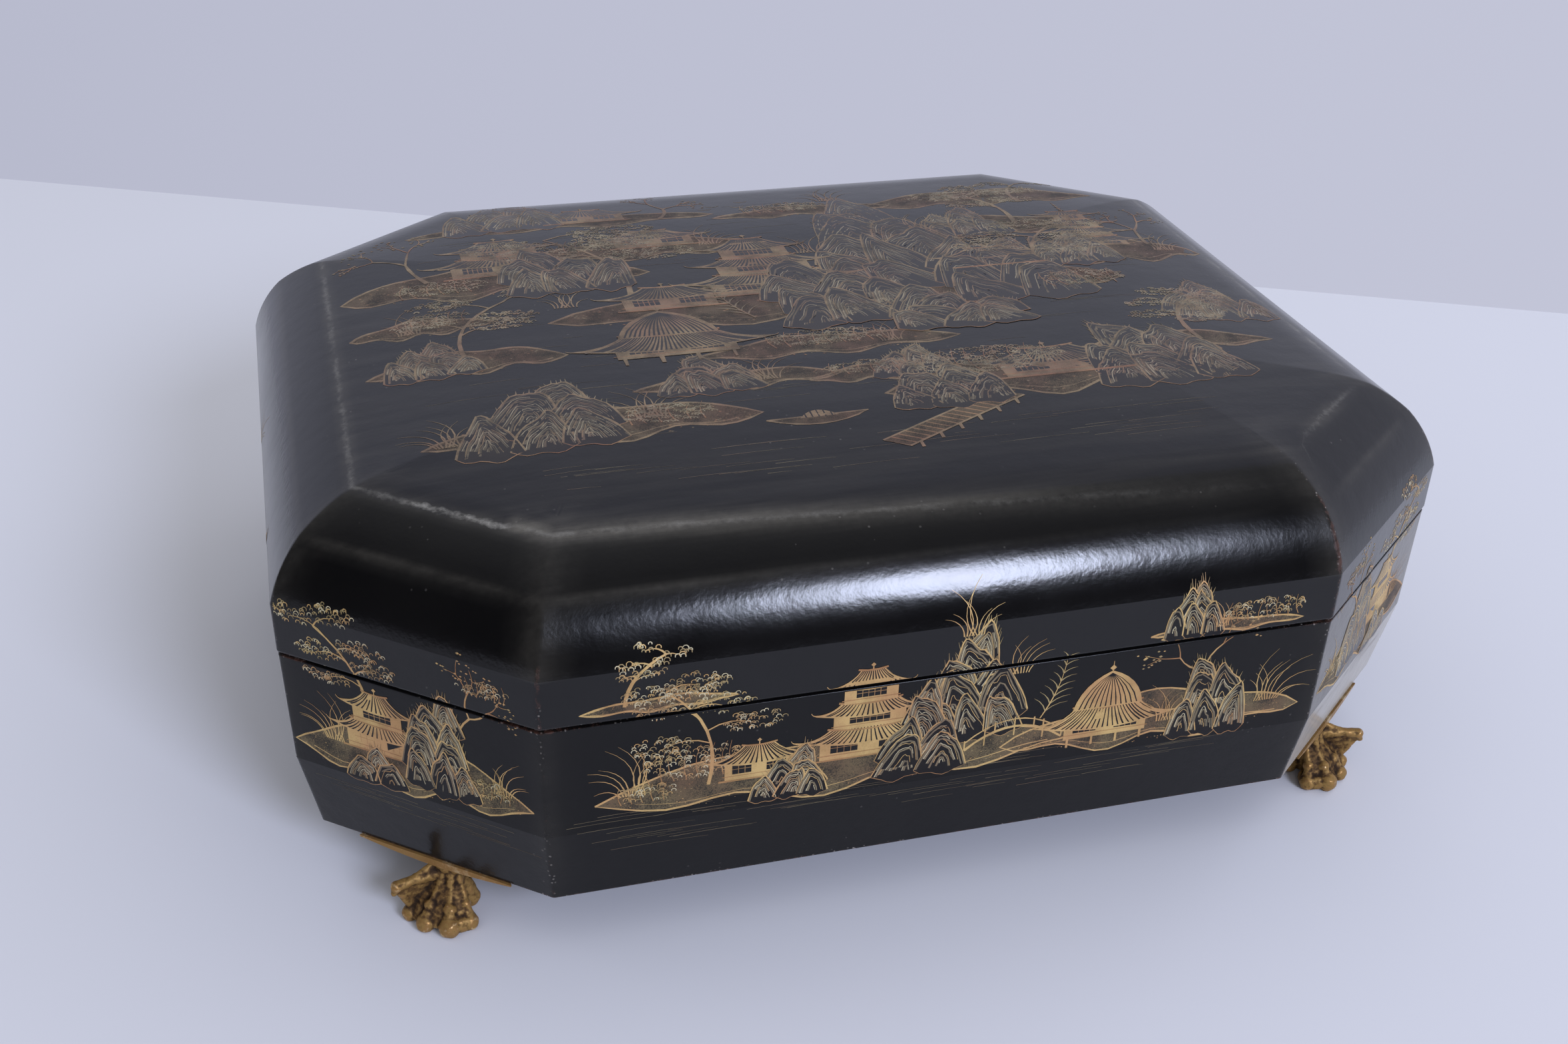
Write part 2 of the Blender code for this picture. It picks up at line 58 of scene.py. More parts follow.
TABLE_COLOUR = (0.55, 0.555, 0.60, 1)
TABLE_ROUGHNESS = 0.6
TABLE_SPECULAR = 0.2
TABLE_REACH = 3.0
TABLE_FRONT = -1.6
WALL_COLOURS = ((0.46, 0.475, 0.59), (0.56, 0.575, 0.70))
WALL_COLOUR_SPAN = (-0.6, 0.7)
WALL_FOOT = Vector((0.0, 0.441, 0.0))
WALL_TURN = math.radians(-25.3)
WALL_HEIGHT = 1.1

SOFT_LIGHT = 0.87
SOFT_LEAN = 0.22
SHINE_AXIS = Vector((0.20, 0.60, 0.77))
SHINE_GLOW = 0.62
SHINE_FOCUS = 2.0
SHINE_FLOOR = 0.06
SKY_COLOUR = (0.94, 0.95, 1.0, 1)
BACKGROUND_COLOUR = (0.50, 0.52, 0.63, 1)

WINDOW_AIM = Vector((0.0, -0.15, 0.115))
WINDOW_PLACE = Vector((0.658, -1.790, 1.130))
WINDOW_LIGHT_PLACE = Vector((1.60, -4.60, 2.79))
WINDOW_COLOUR = (0.73, 0.79, 1.0)
SCREEN_AIM = Vector((0.35, 0.0, 0.0))
SCREEN_PLACE = Vector((1.1, 0.2, 1.0))
# Each lamp: name, shape, place, aim, width, height, power, and whether the things that it
# falls on show its light and the lacquer its mirror image
LAMPS = (("screen", "SQUARE", SCREEN_PLACE, SCREEN_AIM, 0.8, 0.8, 2.0, True, False),
         ("window_core", "ELLIPSE", WINDOW_PLACE, WINDOW_AIM, 0.44, 0.64, 30.0, False, True),
         ("window_halo", "ELLIPSE", WINDOW_PLACE, WINDOW_AIM, 0.80, 0.64, 8.0, False, True),
         ("window_light", "ELLIPSE", WINDOW_LIGHT_PLACE, WINDOW_AIM, 1.90, 1.72, 262.0, True, False))


class Recipe:
    """Adds the nodes of a material or of the sky; most methods give the socket that comes out."""

    def __init__(self, tree):
        self.tree = tree

    def node(self, kind, inputs=None, **settings):
        made = self.tree.nodes.new("ShaderNode" + kind)
        for name, value in settings.items():
            setattr(made, name, value)
        self.feed(made, inputs or {})
        return made

    def feed(self, node, inputs):
        """Set sockets of a node to values, or link them to other sockets."""
        for name, value in inputs.items():
            if isinstance(value, bpy.types.NodeSocket):
                self.tree.links.new(value, node.inputs[name])
            else:
                node.inputs[name].default_value = value

    def maths(self, operation, *terms, clamp=False):
        """One step of arithmetic on sockets and numbers."""
        return self.node("Math", dict(enumerate(terms)), operation=operation,
                         use_clamp=clamp).outputs[0]

    def spread(self, value, low, high, start=0.0, end=1.0):
        """A value brought from the span low to high to the span start to end, and held there."""
        return self.node("MapRange", {0: value, 1: low, 2: high, 3: start, 4: end}).outputs[0]

    def blend(self, share, first, second):
        """A colour between two colours, each given as three numbers or as a socket."""
        first, second = ((*colour, 1) if isinstance(colour, tuple) else colour
                         for colour in (first, second))
        return self.node("Mix", {0: share, 6: first, 7: second}, data_type="RGBA").outputs[2]


class Material(Recipe):
    """A material with patterns that are fixed to the object."""

    def __init__(self, name):
        self.made = bpy.data.materials.new(name)
        self.made.use_nodes = True
        super().__init__(self.made.node_tree)
        self.shader = self.tree.nodes["Principled BSDF"]
        self.place = self.node("TexCoord").outputs["Object"]

    def noise(self, scale, detail=2.0, roughness=0.5, place=None):
        return self.node("TexNoise", {"Vector": place or self.place, "Scale": scale,
                                      "Detail": detail, "Roughness": roughness}).outputs["Fac"]

    def specks(self, scale):
        """The distance from the nearest of many scattered spots."""
        return self.node("TexVoronoi", {"Vector": self.place, "Scale": scale}).outputs["Distance"]

    def mark(self, name):
        """An amount stored with the points of the mesh."""
        return self.node("Attribute", attribute_name=name).outputs["Fac"]

    def finish(self, bump_height, strength, distance, **inputs):
        """Set the inputs of the shader, and its bump."""
        bump = self.node("Bump", {"Height": bump_height, "Strength": strength,
                                  "Distance": distance}).outputs[0]
        self.feed(self.shader, {"Normal": bump})
        self.feed(self.shader, {name.replace("_", " "): value for name, value in inputs.items()})
        return self.made


def new_object(name, mesh, *materials):
    made = bpy.data.objects.new(name, mesh)
    bpy.context.scene.collection.objects.link(made)
    for material in materials:
        mesh.materials.append(material)
    return made


def flat_sheet(name, corners, material):
    mesh = bpy.data.meshes.new(name)
    mesh.from_pydata([tuple(corner) for corner in corners], [], [tuple(range(len(corners)))])
    new_object(name, mesh, material)


camera = bpy.data.objects.new("camera", bpy.data.cameras.new("camera"))
bpy.context.scene.collection.objects.link(camera)
turn = (Matrix.Rotation(CAMERA_HEADING, 4, "Z")
        @ Matrix.Rotation(math.pi / 2 - CAMERA_TILT, 4, "X")
        @ Matrix.Rotation(CAMERA_ROLL, 4, "Z"))
camera.matrix_world = Matrix.Translation(CAMERA_PLACE) @ turn
camera.data.lens = CAMERA_LENS
bpy.context.scene.camera = camera
bpy.context.scene.view_settings.view_transform = "Standard"

table_paint = Material("table_paint")
table_paint.feed(table_paint.shader, {"Base Color": TABLE_COLOUR, "Roughness": TABLE_ROUGHNESS,
                                      "Specular IOR Level": TABLE_SPECULAR})
flat_sheet("table", [(-TABLE_REACH, TABLE_FRONT, 0), (TABLE_REACH, TABLE_FRONT, 0),
                     (TABLE_REACH, TABLE_REACH, 0), (-TABLE_REACH, TABLE_REACH, 0)],
           table_paint.made)

# The wall glows, a painted light that grows brighter towards the right, and neither lights nor shades
# the box
wall_paint = Material("wall_paint")
face = wall_paint.node("NewGeometry").outputs
light_path = wall_paint.node("LightPath").outputs
seen = wall_paint.maths("ADD", light_path["Is Camera Ray"], light_path["Is Glossy Ray"])
seen = wall_paint.maths("ADD", seen, light_path["Is Transmission Ray"])
seen = wall_paint.maths("SUBTRACT", seen, face["Backfacing"], clamp=True)
across = wall_paint.node("SeparateXYZ", {0: face["Position"]}).outputs["X"]
wall_tone = wall_paint.blend(wall_paint.spread(across, *WALL_COLOUR_SPAN), *WALL_COLOURS)
pale = wall_paint.node("Emission", {"Color": wall_tone}).outputs[0]
clear = wall_paint.node("BsdfTransparent").outputs["BSDF"]
one_sided = wall_paint.node("MixShader", {0: seen, 1: clear, 2: pale}).outputs[0]
wall_paint.feed(wall_paint.tree.nodes["Material Output"], {"Surface": one_sided})
along = Vector((math.cos(WALL_TURN), math.sin(WALL_TURN), 0)) * TABLE_REACH
rise = Vector((0, 0, WALL_HEIGHT))
flat_sheet("wall", [WALL_FOOT - along, WALL_FOOT + along,
                    WALL_FOOT + along + rise, WALL_FOOT - along + rise], wall_paint.made)

# The sky lights the room evenly, but what is mirrored in the lacquer glows round one axis
sky = bpy.data.worlds.new("sky")
bpy.context.scene.world = sky
sky.use_nodes = True
sky.cycles.sampling_method = "NONE"
recipe = Recipe(sky.node_tree)
way = recipe.node("TexCoord").outputs["Generated"]
height = recipe.node("VectorMath", {0: way, 1: SHINE_AXIS.normalized()},
                     operation="DOT_PRODUCT").outputs["Value"]
glow = recipe.maths("POWER", recipe.maths("MAXIMUM", height, 0.0), SHINE_FOCUS)
glow = recipe.maths("MULTIPLY_ADD", glow, SHINE_GLOW, SHINE_FLOOR)
rightward = recipe.node("SeparateXYZ", {0: way}).outputs["X"]
soft = recipe.maths("MULTIPLY_ADD", rightward, SOFT_LIGHT * SOFT_LEAN, SOFT_LIGHT)
light_path = recipe.node("LightPath").outputs
glow = recipe.node("Mix", {0: light_path["Is Glossy Ray"], 2: soft, 3: glow}).outputs[0]
light = sky.node_tree.nodes["Background"]
recipe.feed(light, {"Color": SKY_COLOUR, "Strength": glow})
backdrop = recipe.node("Background", {"Color": BACKGROUND_COLOUR}).outputs[0]
either = recipe.node("MixShader", {0: light_path["Is Camera Ray"], 1: light.outputs[0], 2: backdrop})
recipe.feed(sky.node_tree.nodes["World Output"], {"Surface": either.outputs[0]})

for name, shape, place, aim, width, height, power, falls, mirrored in LAMPS:
    lamp = bpy.data.objects.new(name, bpy.data.lights.new(name, "AREA"))
    bpy.context.scene.collection.objects.link(lamp)
    lamp.data.shape = shape
    lamp.data.size, lamp.data.size_y = width, height
    lamp.data.energy = power
    lamp.data.color = WINDOW_COLOUR
    lamp.location = place
    lamp.rotation_euler = (place - aim).to_track_quat("Z", "Y").to_euler()
    lamp.visible_diffuse = falls
    lamp.visible_glossy = mirrored


# The casket. Boards mitred into an octagon, canted inwards below, rubbed down and coated
# with many layers of black lacquer, so that no joint shows. It is worn along its edges.

GILT_ROOM = 0.0003
EDGE_ROUND = 0.0007
RIM_ROUND = EDGE_ROUND * 0.35
SEAM_EASE = 0.0003
SIDE_STEPS = 10

# Where the skin has extra points: beside its corners, beside its edges and in between
NEAR_CORNER = (0.0006, 0.0014, 0.0030, 0.0060, 0.0120)
NEAR_EDGE = (0.0008, 0.0018, 0.0034)
SHARES_BETWEEN = [0.2, 0.35, 0.5, 0.65, 0.8]

half_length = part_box("lid_rail_right")[1].x
half_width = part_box("lid_rail_back")[1].y
near_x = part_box("lid_rail_front")[1].x
near_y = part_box("lid_rail_right")[1].y
underside_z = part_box("base_wall_front")[0].z
wall_top_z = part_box("base_wall_front")[1].z - SEAM_EASE
wall_inner = half_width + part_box("base_wall_front")[1].y

CORNERS = [Vector(corner) for corner in (
    (-near_x, -half_width), (near_x, -half_width), (half_length, -near_y), (half_length, near_y),
    (near_x, half_width), (-near_x, half_width), (-half_length, near_y), (-half_length, -near_y))]
SIDES = ("front", "front_right", "right", "back_right", "back", "back_left", "left", "front_left")
ALONG = [(CORNERS[(i + 1) % 8] - CORNERS[i]).normalized() for i in range(8)]
INTO = [Vector((-way.y, way.x)) for way in ALONG]

# Depth behind the crease and height of each level of the outer wall
LOWER_CREASE_HEIGHT = 0.049
WALL_LEVELS = ((0.0064, underside_z), (0.0013, LOWER_CREASE_HEIGHT), (0.0004, wall_top_z))

BLACK = (0.0020, 0.0018, 0.0020)
BLOOM = (0.112, 0.102, 0.084)
RUBBED_GREY = (0.22, 0.21, 0.19)
NICK_GREY = (0.36, 0.33, 0.30)
RED_GROUND = (0.050, 0.020, 0.013)
BARE_WOOD = (0.42, 0.33, 0.23)
DUST_TINT = (0.93, 0.90, 0.88, 1)

# How strongly each edge is worn, and how wide the wear is
CORNER_WEAR, CORNER_WIDTH = 0.46, 0.0016
CREASE_WEAR, CREASE_WIDTH = 0.40, 0.0012
RIM_WEAR, RIM_CORNER_WEAR, RIM_WIDTH, RIM_CORNER_WIDTH = 0.34, 0.30, 0.0010, 0.012
FOOT_EDGE_WEAR = 0.62
CORNER_RUB, CORNER_RUB_WIDTH = 0.10, 0.003
WORN_DEPTH = 0.008


def corners_at(depth):
    """The corners of the octagon, moved in by a depth."""
    return [corner + (INTO[i - 1] + INTO[i]) * depth / (1 + INTO[i - 1].dot(INTO[i]))
            for i, corner in enumerate(CORNERS)]


def ring_at(depth, height):
    """One level of a lacquered skin: points round the octagon, with the corners eased."""
    corners = corners_at(depth)
    points = []
    for i, start in enumerate(corners):
        end = corners[(i + 1) % 8]
        length = (end - start).length
        near = [min(step, length / 3) for step in NEAR_CORNER]
        steps = near[:]
        for step in range(1, SIDE_STEPS):
            steps.append(near[-1] + (length - 2 * near[-1]) * step / SIDE_STEPS)
        steps += [length - step for step in reversed(near)]
        before = start - ALONG[i - 1] * near[0]
        after = start + ALONG[i] * near[0]
        points.append((before + after + start * 2) / 4)
        points += [start + ALONG[i] * step for step in steps]
    return [(point.x, point.y, height) for point in points]


def eased(points, radius, corner):
    """A profile with one corner turned into a short round."""
    here = Vector(points[corner])
    before = here + (Vector(points[corner - 1]) - here).normalized() * radius
    after = here + (Vector(points[corner + 1]) - here).normalized() * radius
    middle = (before + after + here * 2) / 4
    return points[:corner] + [tuple(before), tuple(middle), tuple(after)] + points[corner + 1:]


def close_rings(levels):
    """A profile with extra rings near its corners, where the wear needs them."""
    rings = [levels[0]]
    for (depth0, height0), (depth1, height1) in zip(levels, levels[1:]):
        length = height1 - height0
        for share in sorted([near / length for near in NEAR_EDGE] + SHARES_BETWEEN
                            + [1 - near / length for near in NEAR_EDGE]):
            rings.append((depth0 + (depth1 - depth0) * share, height0 + length * share))
        rings.append((depth1, height1))
    return rings


def joined(rings, closed):
    """Faces through rings of points, in a loop or with a face over each end."""
    bm = bmesh.new()
    rings = [[bm.verts.new(point) for point in ring] for ring in rings]
    following = rings[1:] + (rings[:1] if closed else [])
    for near, far in zip(rings, following):
        for i in range(len(near)):
            bm.faces.new((near[i - 1], near[i], far[i], far[i - 1]))
    if not closed:
        bm.faces.new(rings[0])
        bm.faces.new(rings[-1])
    bmesh.ops.recalc_face_normals(bm, faces=bm.faces)
    return bm, rings


def to_object(name, bm, *materials):
    mesh = bpy.data.meshes.new(name)
    bm.to_mesh(mesh)
    bm.free()
    return new_object(name, mesh, *materials)


def lacquered_skin(name, profile, crisp, closed, material):
    """A skin through the rings of a profile, with its crisp rings marked sharp."""
    bm, rings = joined([ring_at(*level) for level in profile], closed)
    for face in bm.faces:
        face.smooth = True
    for ring in (rings[level] for level in crisp):
        for i in range(len(ring)):
            bm.edges.get((ring[i - 1], ring[i])).smooth = False
    return to_object(name, bm, material)


def corner_distance(point):
    """How far a point lies from the nearest corner line of the octagon, and behind its side."""
    flat = point.xy
    depths = sorted((flat - CORNERS[i]).dot(INTO[i]) for i in range(8))
    return depths[1] - depths[0], depths[0]


def mark(mesh, name, amount):
    """Store an amount for each point of a skin, worked out from its place."""
    layer = mesh.attributes.new(name, "FLOAT", "POINT")
    layer.data.foreach_set("value", [amount(vertex.co) for vertex in mesh.vertices])


def bell(distance, width):
    return math.exp(-(distance / width) ** 2)


def lacquer(name, colour, roughness, haze, streaks=0.0, ior=1.37, dust_sheen=0.0):
    """Black lacquer: satin gloss with fine ripples, dusty haze and rubbed, chipped edges."""
    made = Material(name)
    cloud = made.noise(28.0, detail=5.0, roughness=0.6)
    drawn = made.node("Mapping", {"Vector": made.place, "Scale": (9.0, 95.0, 60.0)}).outputs[0]
    streak = made.noise(1.0, detail=4.0, roughness=0.65, place=drawn)
    shaken = made.noise(420.0, detail=4.0)

    # A grey film: dust all over, streaks of bloom on the top, patchy rubbed ridges, and the pale line
    # painted along the lower ridge of the lid
    dust = made.spread(cloud, 0.35, 0.75, end=haze)
    film = made.spread(streak, 0.42, 0.72, end=streaks)
    film = made.maths("MULTIPLY_ADD", made.mark("mist"), film, dust)
    patchy = made.spread(streak, 0.40, 0.62, start=0.25)
    patchy = made.maths("MULTIPLY_ADD", shaken, 0.9, patchy)
    patchy = made.maths("MULTIPLY", patchy, 0.72)
    rubbed = made.maths("MULTIPLY", made.mark("rub"), patchy)
    film = made.maths("MULTIPLY_ADD", rubbed, 0.75, film)
    film = made.node("Clamp", {0: film}).outputs[0]
    tone = made.blend(film, colour, BLOOM)

    # A crisp, broken line on top of the ridge
    off = made.maths("MULTIPLY_ADD", shaken, 0.0030, -0.0015)
    off = made.maths("ABSOLUTE", made.maths("ADD", made.mark("ridge_way"), off))
    crisp = made.spread(off, 0.0013, 0.0001)
    crisp = made.maths("MULTIPLY", crisp, made.mark("ridge_rub"))
    broken = made.spread(made.noise(75.0, detail=7.0, roughness=0.8), 0.42, 0.66)
    crisp = made.maths("MULTIPLY", crisp, broken, clamp=True)
    tone = made.blend(crisp, tone, RUBBED_GREY)

    # Rare pale pits on the faces, and nicks along the worn edges
    pit = made.spread(made.specks(210.0), 0.10, 0.04)
    pit = made.maths("MULTIPLY", pit, made.spread(cloud, 0.50, 0.66, end=0.16))
    nick = made.spread(made.specks(640.0), 0.26, 0.14)
    wear = made.mark("wear")
    often = made.spread(made.maths("MULTIPLY", wear, cloud), 0.20, 0.42, end=0.8)
    nick = made.maths("MULTIPLY", nick, often)
    tone = made.blend(made.maths("ADD", pit, nick), tone, NICK_GREY)

    # Where an edge is worn through, the red ground shows, and at worst the wood
    speck = made.noise(420.0, detail=6.0, roughness=0.75)
    worn = made.maths("MULTIPLY", speck, wear)
    red = made.spread(worn, 0.26, 0.40)
    tone = made.blend(red, tone, RED_GROUND)
    tone = made.blend(made.spread(worn, 0.50, 0.56), tone, BARE_WOOD)

    matt = made.spread(cloud, 0.3, 0.7, roughness * 0.85, roughness * 1.2)
    matt = made.maths("MULTIPLY_ADD", film, 0.25, matt)
    matt = made.maths("MULTIPLY_ADD", red, 0.3, matt)
    ripple = made.noise(150.0)
    uneven = made.maths("MULTIPLY_ADD", made.noise(900.0, detail=3.0), 0.36, ripple)
    return made.finish(uneven, 0.13, 0.0006, Base_Color=tone, Roughness=matt, IOR=ior,
                       Sheen_Weight=dust_sheen, Sheen_Roughness=0.22, Sheen_Tint=DUST_TINT)


side_lacquer = lacquer("side_lacquer", BLACK, 0.17, haze=0.012, ior=1.33, dust_sheen=1.0)
outer = close_rings([(depth + GILT_ROOM, height) for depth, height in WALL_LEVELS])
crease = (len(outer) - 1) // 2
profile = outer + [(wall_inner, wall_top_z), (wall_inner, underside_z)]
profile = eased(profile, RIM_ROUND, len(outer) - 1)
base_skin = lacquered_skin("casket_lacquer", profile,
                           crisp=(0, crease, len(profile) - 2, len(profile) - 1),
                           closed=True, material=side_lacquer)


def rim_wear(point, across, rim_z):
    """The wear along the seam, which is worse near the corners."""
    strength = RIM_WEAR + RIM_CORNER_WEAR * bell(across, RIM_CORNER_WIDTH)
    return strength * bell(point.z - rim_z, RIM_WIDTH)


def casket_wear(point):
    across, depth = corner_distance(point)
    if depth > WORN_DEPTH:
        return 0.0
    return max(CORNER_WEAR * bell(across, CORNER_WIDTH),
               CREASE_WEAR * bell(point.z - LOWER_CREASE_HEIGHT, CREASE_WIDTH),
               rim_wear(point, across, wall_top_z),
               FOOT_EDGE_WEAR * bell(point.z - underside_z, CREASE_WIDTH))


mark(base_skin.data, "wear", casket_wear)
mark(base_skin.data, "rub",
     lambda point: CORNER_RUB * bell(corner_distance(point)[0], CORNER_RUB_WIDTH))
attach(base_skin, "base")
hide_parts(*(f"base_wall_{where}" for where in SIDES))


# The lid. A low band, a round shoulder with two soft ridges and a top that swells a little,
# lacquered all over as one skin. The upper ridge is rubbed grey, a pale grey line is painted
# along the lower ridge, and the top has a dusty bloom.

CREASE_HEIGHT = 0.104
SHOULDER_RUN = 0.0375
SHOULDER_RISE = 0.030
CROWN_WIDTH = 0.057
RIDGE_SHARES = (0.0, 0.42, 0.72, 1.0)
RIDGE_FLATTENING = 0.00022
STEPS_BETWEEN_RIDGES = 8
CROWN_STEPS = 12
COVE_HEIGHT = 0.010
LEDGE_THICKNESS = 0.004
LEDGE_WIDTH = 0.006
EDGE_INSET = 0.0001

top_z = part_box("lid_top_panel")[1].z
panel_underside_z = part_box("lid_top_panel")[0].z
lid_low_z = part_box("lid_rail_front")[0].z + SEAM_EASE * 1.3
shoulder_top_z = CREASE_HEIGHT + SHOULDER_RISE
crown_rise = top_z - shoulder_top_z - GILT_ROOM

radius = (SHOULDER_RUN ** 2 + SHOULDER_RISE ** 2) / (2 * SHOULDER_RISE)
first_angle = math.asin((radius - SHOULDER_RISE) / radius)
sweep = math.pi / 2 - first_angle
shoulder = []
for span, share in enumerate(RIDGE_SHARES[:-1]):
    width = RIDGE_SHARES[span + 1] - share
    for step in range(STEPS_BETWEEN_RIDGES):
        part = step / STEPS_BETWEEN_RIDGES
        angle = first_angle + sweep * (share + width * part)
        reach = radius - RIDGE_FLATTENING * 4 * part * (1 - part)
        shoulder.append((SHOULDER_RUN - reach * math.cos(angle),
                         shoulder_top_z - radius + reach * math.sin(angle)))
lower_ridge, upper_ridge = (shoulder[STEPS_BETWEEN_RIDGES * i][0] for i in (1, 2))
crown = []
for step in range(CROWN_STEPS + 1):
    part = step / CROWN_STEPS
    crown.append((SHOULDER_RUN + CROWN_WIDTH * part,
                  shoulder_top_z + crown_rise * (1 - (1 - part) ** 2)))
inside = [(SHOULDER_RUN + LEDGE_WIDTH * 1.5, panel_underside_z),
          (SHOULDER_RUN + LEDGE_WIDTH, panel_underside_z),
          (SHOULDER_RUN + LEDGE_WIDTH, panel_underside_z - LEDGE_THICKNESS),
          (wall_inner, CREASE_HEIGHT + COVE_HEIGHT),
          (wall_inner, lid_low_z)]
band = close_rings([(GILT_ROOM + EDGE_INSET, lid_low_z), (GILT_ROOM, CREASE_HEIGHT)])[:-1]
outside = [(depth + GILT_ROOM, height) for depth, height in shoulder]
profile = eased(inside + band + outside + crown, EDGE_ROUND, len(inside))
crease_ring = len(inside) + len(band) + 2

lid_lacquer = lacquer("lid_lacquer", BLACK, 0.17, haze=0.010, streaks=0.11, ior=1.42,
                      dust_sheen=0.08)
lid_skin = lacquered_skin("lid_lacquer", profile, crisp=(0, 1, 2, 3, 4, crease_ring),
                          closed=False, material=lid_lacquer)

# How strongly the lid is worn: its hips, which are worst at the right end, and its crease
HIP_WEAR, RIGHT_HIP_WEAR, HIP_WIDTH = 0.56, 0.84, 0.0013
LID_CREASE_WEAR, LID_CREASE_WIDTH = 0.42, 0.0008
HIP_RUB, HIP_RUB_WIDTH = 0.18, 0.004

# The grey rub of the upper ridge. On the front it starts strong at the left end, runs down
# the shoulder and fades before the right end.
RUB_DEPTH, RUB_DROP, SIDE_RUB_SHIFT = 0.0285, 0.0115, 0.0015
FRONT_RUB_START, FRONT_RUB_END = -0.10, 0.11
FRONT_RUB, FRONT_RUB_MORE, FRONT_RUB_SPAN = 0.62, 0.34, 0.22
SIDE_RUB = 0.95
FADE_AT_HIP = 0.02
# Strength and width on the front and on the other sides
UPPER_RUB = {True: (0.95, 0.0034), False: (0.34, 0.0024)}
# A pale grey line is also painted along the lower ridge, stronger on the front
LOWER_RIDGE_LINE = {True: 0.34, False: 0.24}
LOWER_RIDGE_LINE_WIDTH = 0.0012
LINE_STRENGTH = 0.45
MIST_EDGE, MIST_DEPTH, MIST_WIDTH = 0.006, 0.04, 0.02


def on_front(point):
    return point.y < -near_y and abs(point.x) < near_x


def lid_wear(point):
    across, depth = corner_distance(point)
    if depth > SHOULDER_RUN or (depth > 0.009 and point.z < CREASE_HEIGHT):
        return 0.0
    rise = min(1, (point.z - CREASE_HEIGHT) / SHOULDER_RISE) if point.z > CREASE_HEIGHT else 0
    worst = RIGHT_HIP_WEAR if point.x > 0 and rise > 0.05 else HIP_WEAR
    return max(worst * (1 - 0.5 * rise) * bell(across, HIP_WIDTH),
               LID_CREASE_WEAR * bell(point.z - CREASE_HEIGHT, LID_CREASE_WIDTH),
               rim_wear(point, across, lid_low_z))


def rubbed_ridge(point):
    """Where the rub of the upper ridge lies at a point, and how strong it is there."""
    across, depth = corner_distance(point)
    if on_front(point):
        share = (point.x - FRONT_RUB_START) / (FRONT_RUB_END - FRONT_RUB_START)
        share = min(1, max(0, share))
        strength = FRONT_RUB + FRONT_RUB_MORE * bell(share, FRONT_RUB_SPAN)
        return depth - RUB_DEPTH + RUB_DROP * share, (1 - share ** 2) * strength
    strength = SIDE_RUB
    if point.x >= 0 and point.y <= 0:
        strength *= min(1, across / FADE_AT_HIP)
    return depth - RUB_DEPTH + SIDE_RUB_SHIFT, strength


def lid_rub(point):
    across, depth = corner_distance(point)
    if point.z < CREASE_HEIGHT:
        return 0.0
    way, strength = rubbed_ridge(point)
    upper, upper_width = UPPER_RUB[on_front(point)]
    return max(upper * strength * bell(way, upper_width),
               LOWER_RIDGE_LINE[on_front(point)] * strength * bell(depth - lower_ridge, LOWER_RIDGE_LINE_WIDTH),
               HIP_RUB * bell(across, HIP_RUB_WIDTH) if depth < SHOULDER_RUN else 0)


def ridge_line(point):
    """The bare line on top of the ridge, sharpest on the near left cant where hands lift it."""
    if point.z < CREASE_HEIGHT + SHOULDER_RISE / 2:
        return 0.0
    if point.x < -near_x and point.y < -near_y:
        return 1.0
    return LINE_STRENGTH * rubbed_ridge(point)[1]


def lid_mist(point):
    """Streaks of bloom lie on the flat of the top and end at the upper ridge."""
    depth = corner_distance(point)[1]
    share = min(1, max(0, (depth - upper_ridge) / MIST_EDGE))
    return share * (0.55 + 0.45 * bell(depth - MIST_DEPTH, MIST_WIDTH))


for name, amount in (("wear", lid_wear), ("rub", lid_rub), ("mist", lid_mist),
                     ("ridge_way", lambda point: rubbed_ridge(point)[0]),
                     ("ridge_rub", ridge_line)):
    mark(lid_skin.data, name, amount)
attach(lid_skin, "lid")
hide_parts("lid_top_panel", *(f"lid_rail_{where}" for where in SIDES))


# The gilding of the walls. Landscapes of water, rocks, halls and trees, drawn freehand in
# gold powder and thin metal leaf on the finished lacquer. They run on across the seam.

# How high the leaf lies over the lacquer, and the step from one level of a painting to the
# next. Each stroke lies a hair, a share of a level, above the one before it.
GILT_LIFT = 0.00003
GILT_STEP = 0.000011
HAIR = 0.003
HAIRS = 50
SAME_POINT = 0.0000004
RAY_START = 0.02
SEAM_MARGIN = 0.0004
SIDE_MARGIN = 0.0012
LOWER_MARGIN = 0.001

# Widths of a stroke of the brush
FINE, MIDDLE, BROAD = 0.00036, 0.00050, 0.00072

FOLD_WIDTH = 0.00080

# Millimetres between the folds of a stone, the ribs of a roof and the bars of a window
FOLD_SPACING = 1.30
RIB_SPACING = 1.75
BAR_SPACING = 1.90


def gilt(name, colour, dark, metal=0.35, roughness=0.45, rubbed=0.5, stipple=0.0, relief=0.25,
         russet=0.8, ior=1.5):
    """Gold or paint on lacquer: uneven in tone, dull in places and rubbed through in spots."""
    made = Material(name)
    powder = made.noise(2600.0)
    cloud = made.noise(130.0, detail=4.0, roughness=0.6)
    uneven = made.maths("MULTIPLY_ADD", powder, 0.45 + stipple, cloud)
    thin = made.spread(uneven, 0.62 + stipple * 0.5, 0.92 + stipple * 0.5, end=rubbed)
    warm = made.spread(made.noise(52.0, detail=3.0), 0.42, 0.60, end=russet)
    reddish = (colour[0] * 0.82, colour[1] * 0.64, colour[2] * 0.72)
    tone = made.blend(thin, made.blend(warm, colour, reddish), dark)
    matt = made.spread(uneven, 0.4, 1.0, roughness * 0.8, roughness * 1.25)
    return made.finish(powder, relief, 0.00005, Base_Color=tone, Roughness=matt,
                       Metallic=metal, IOR=ior)


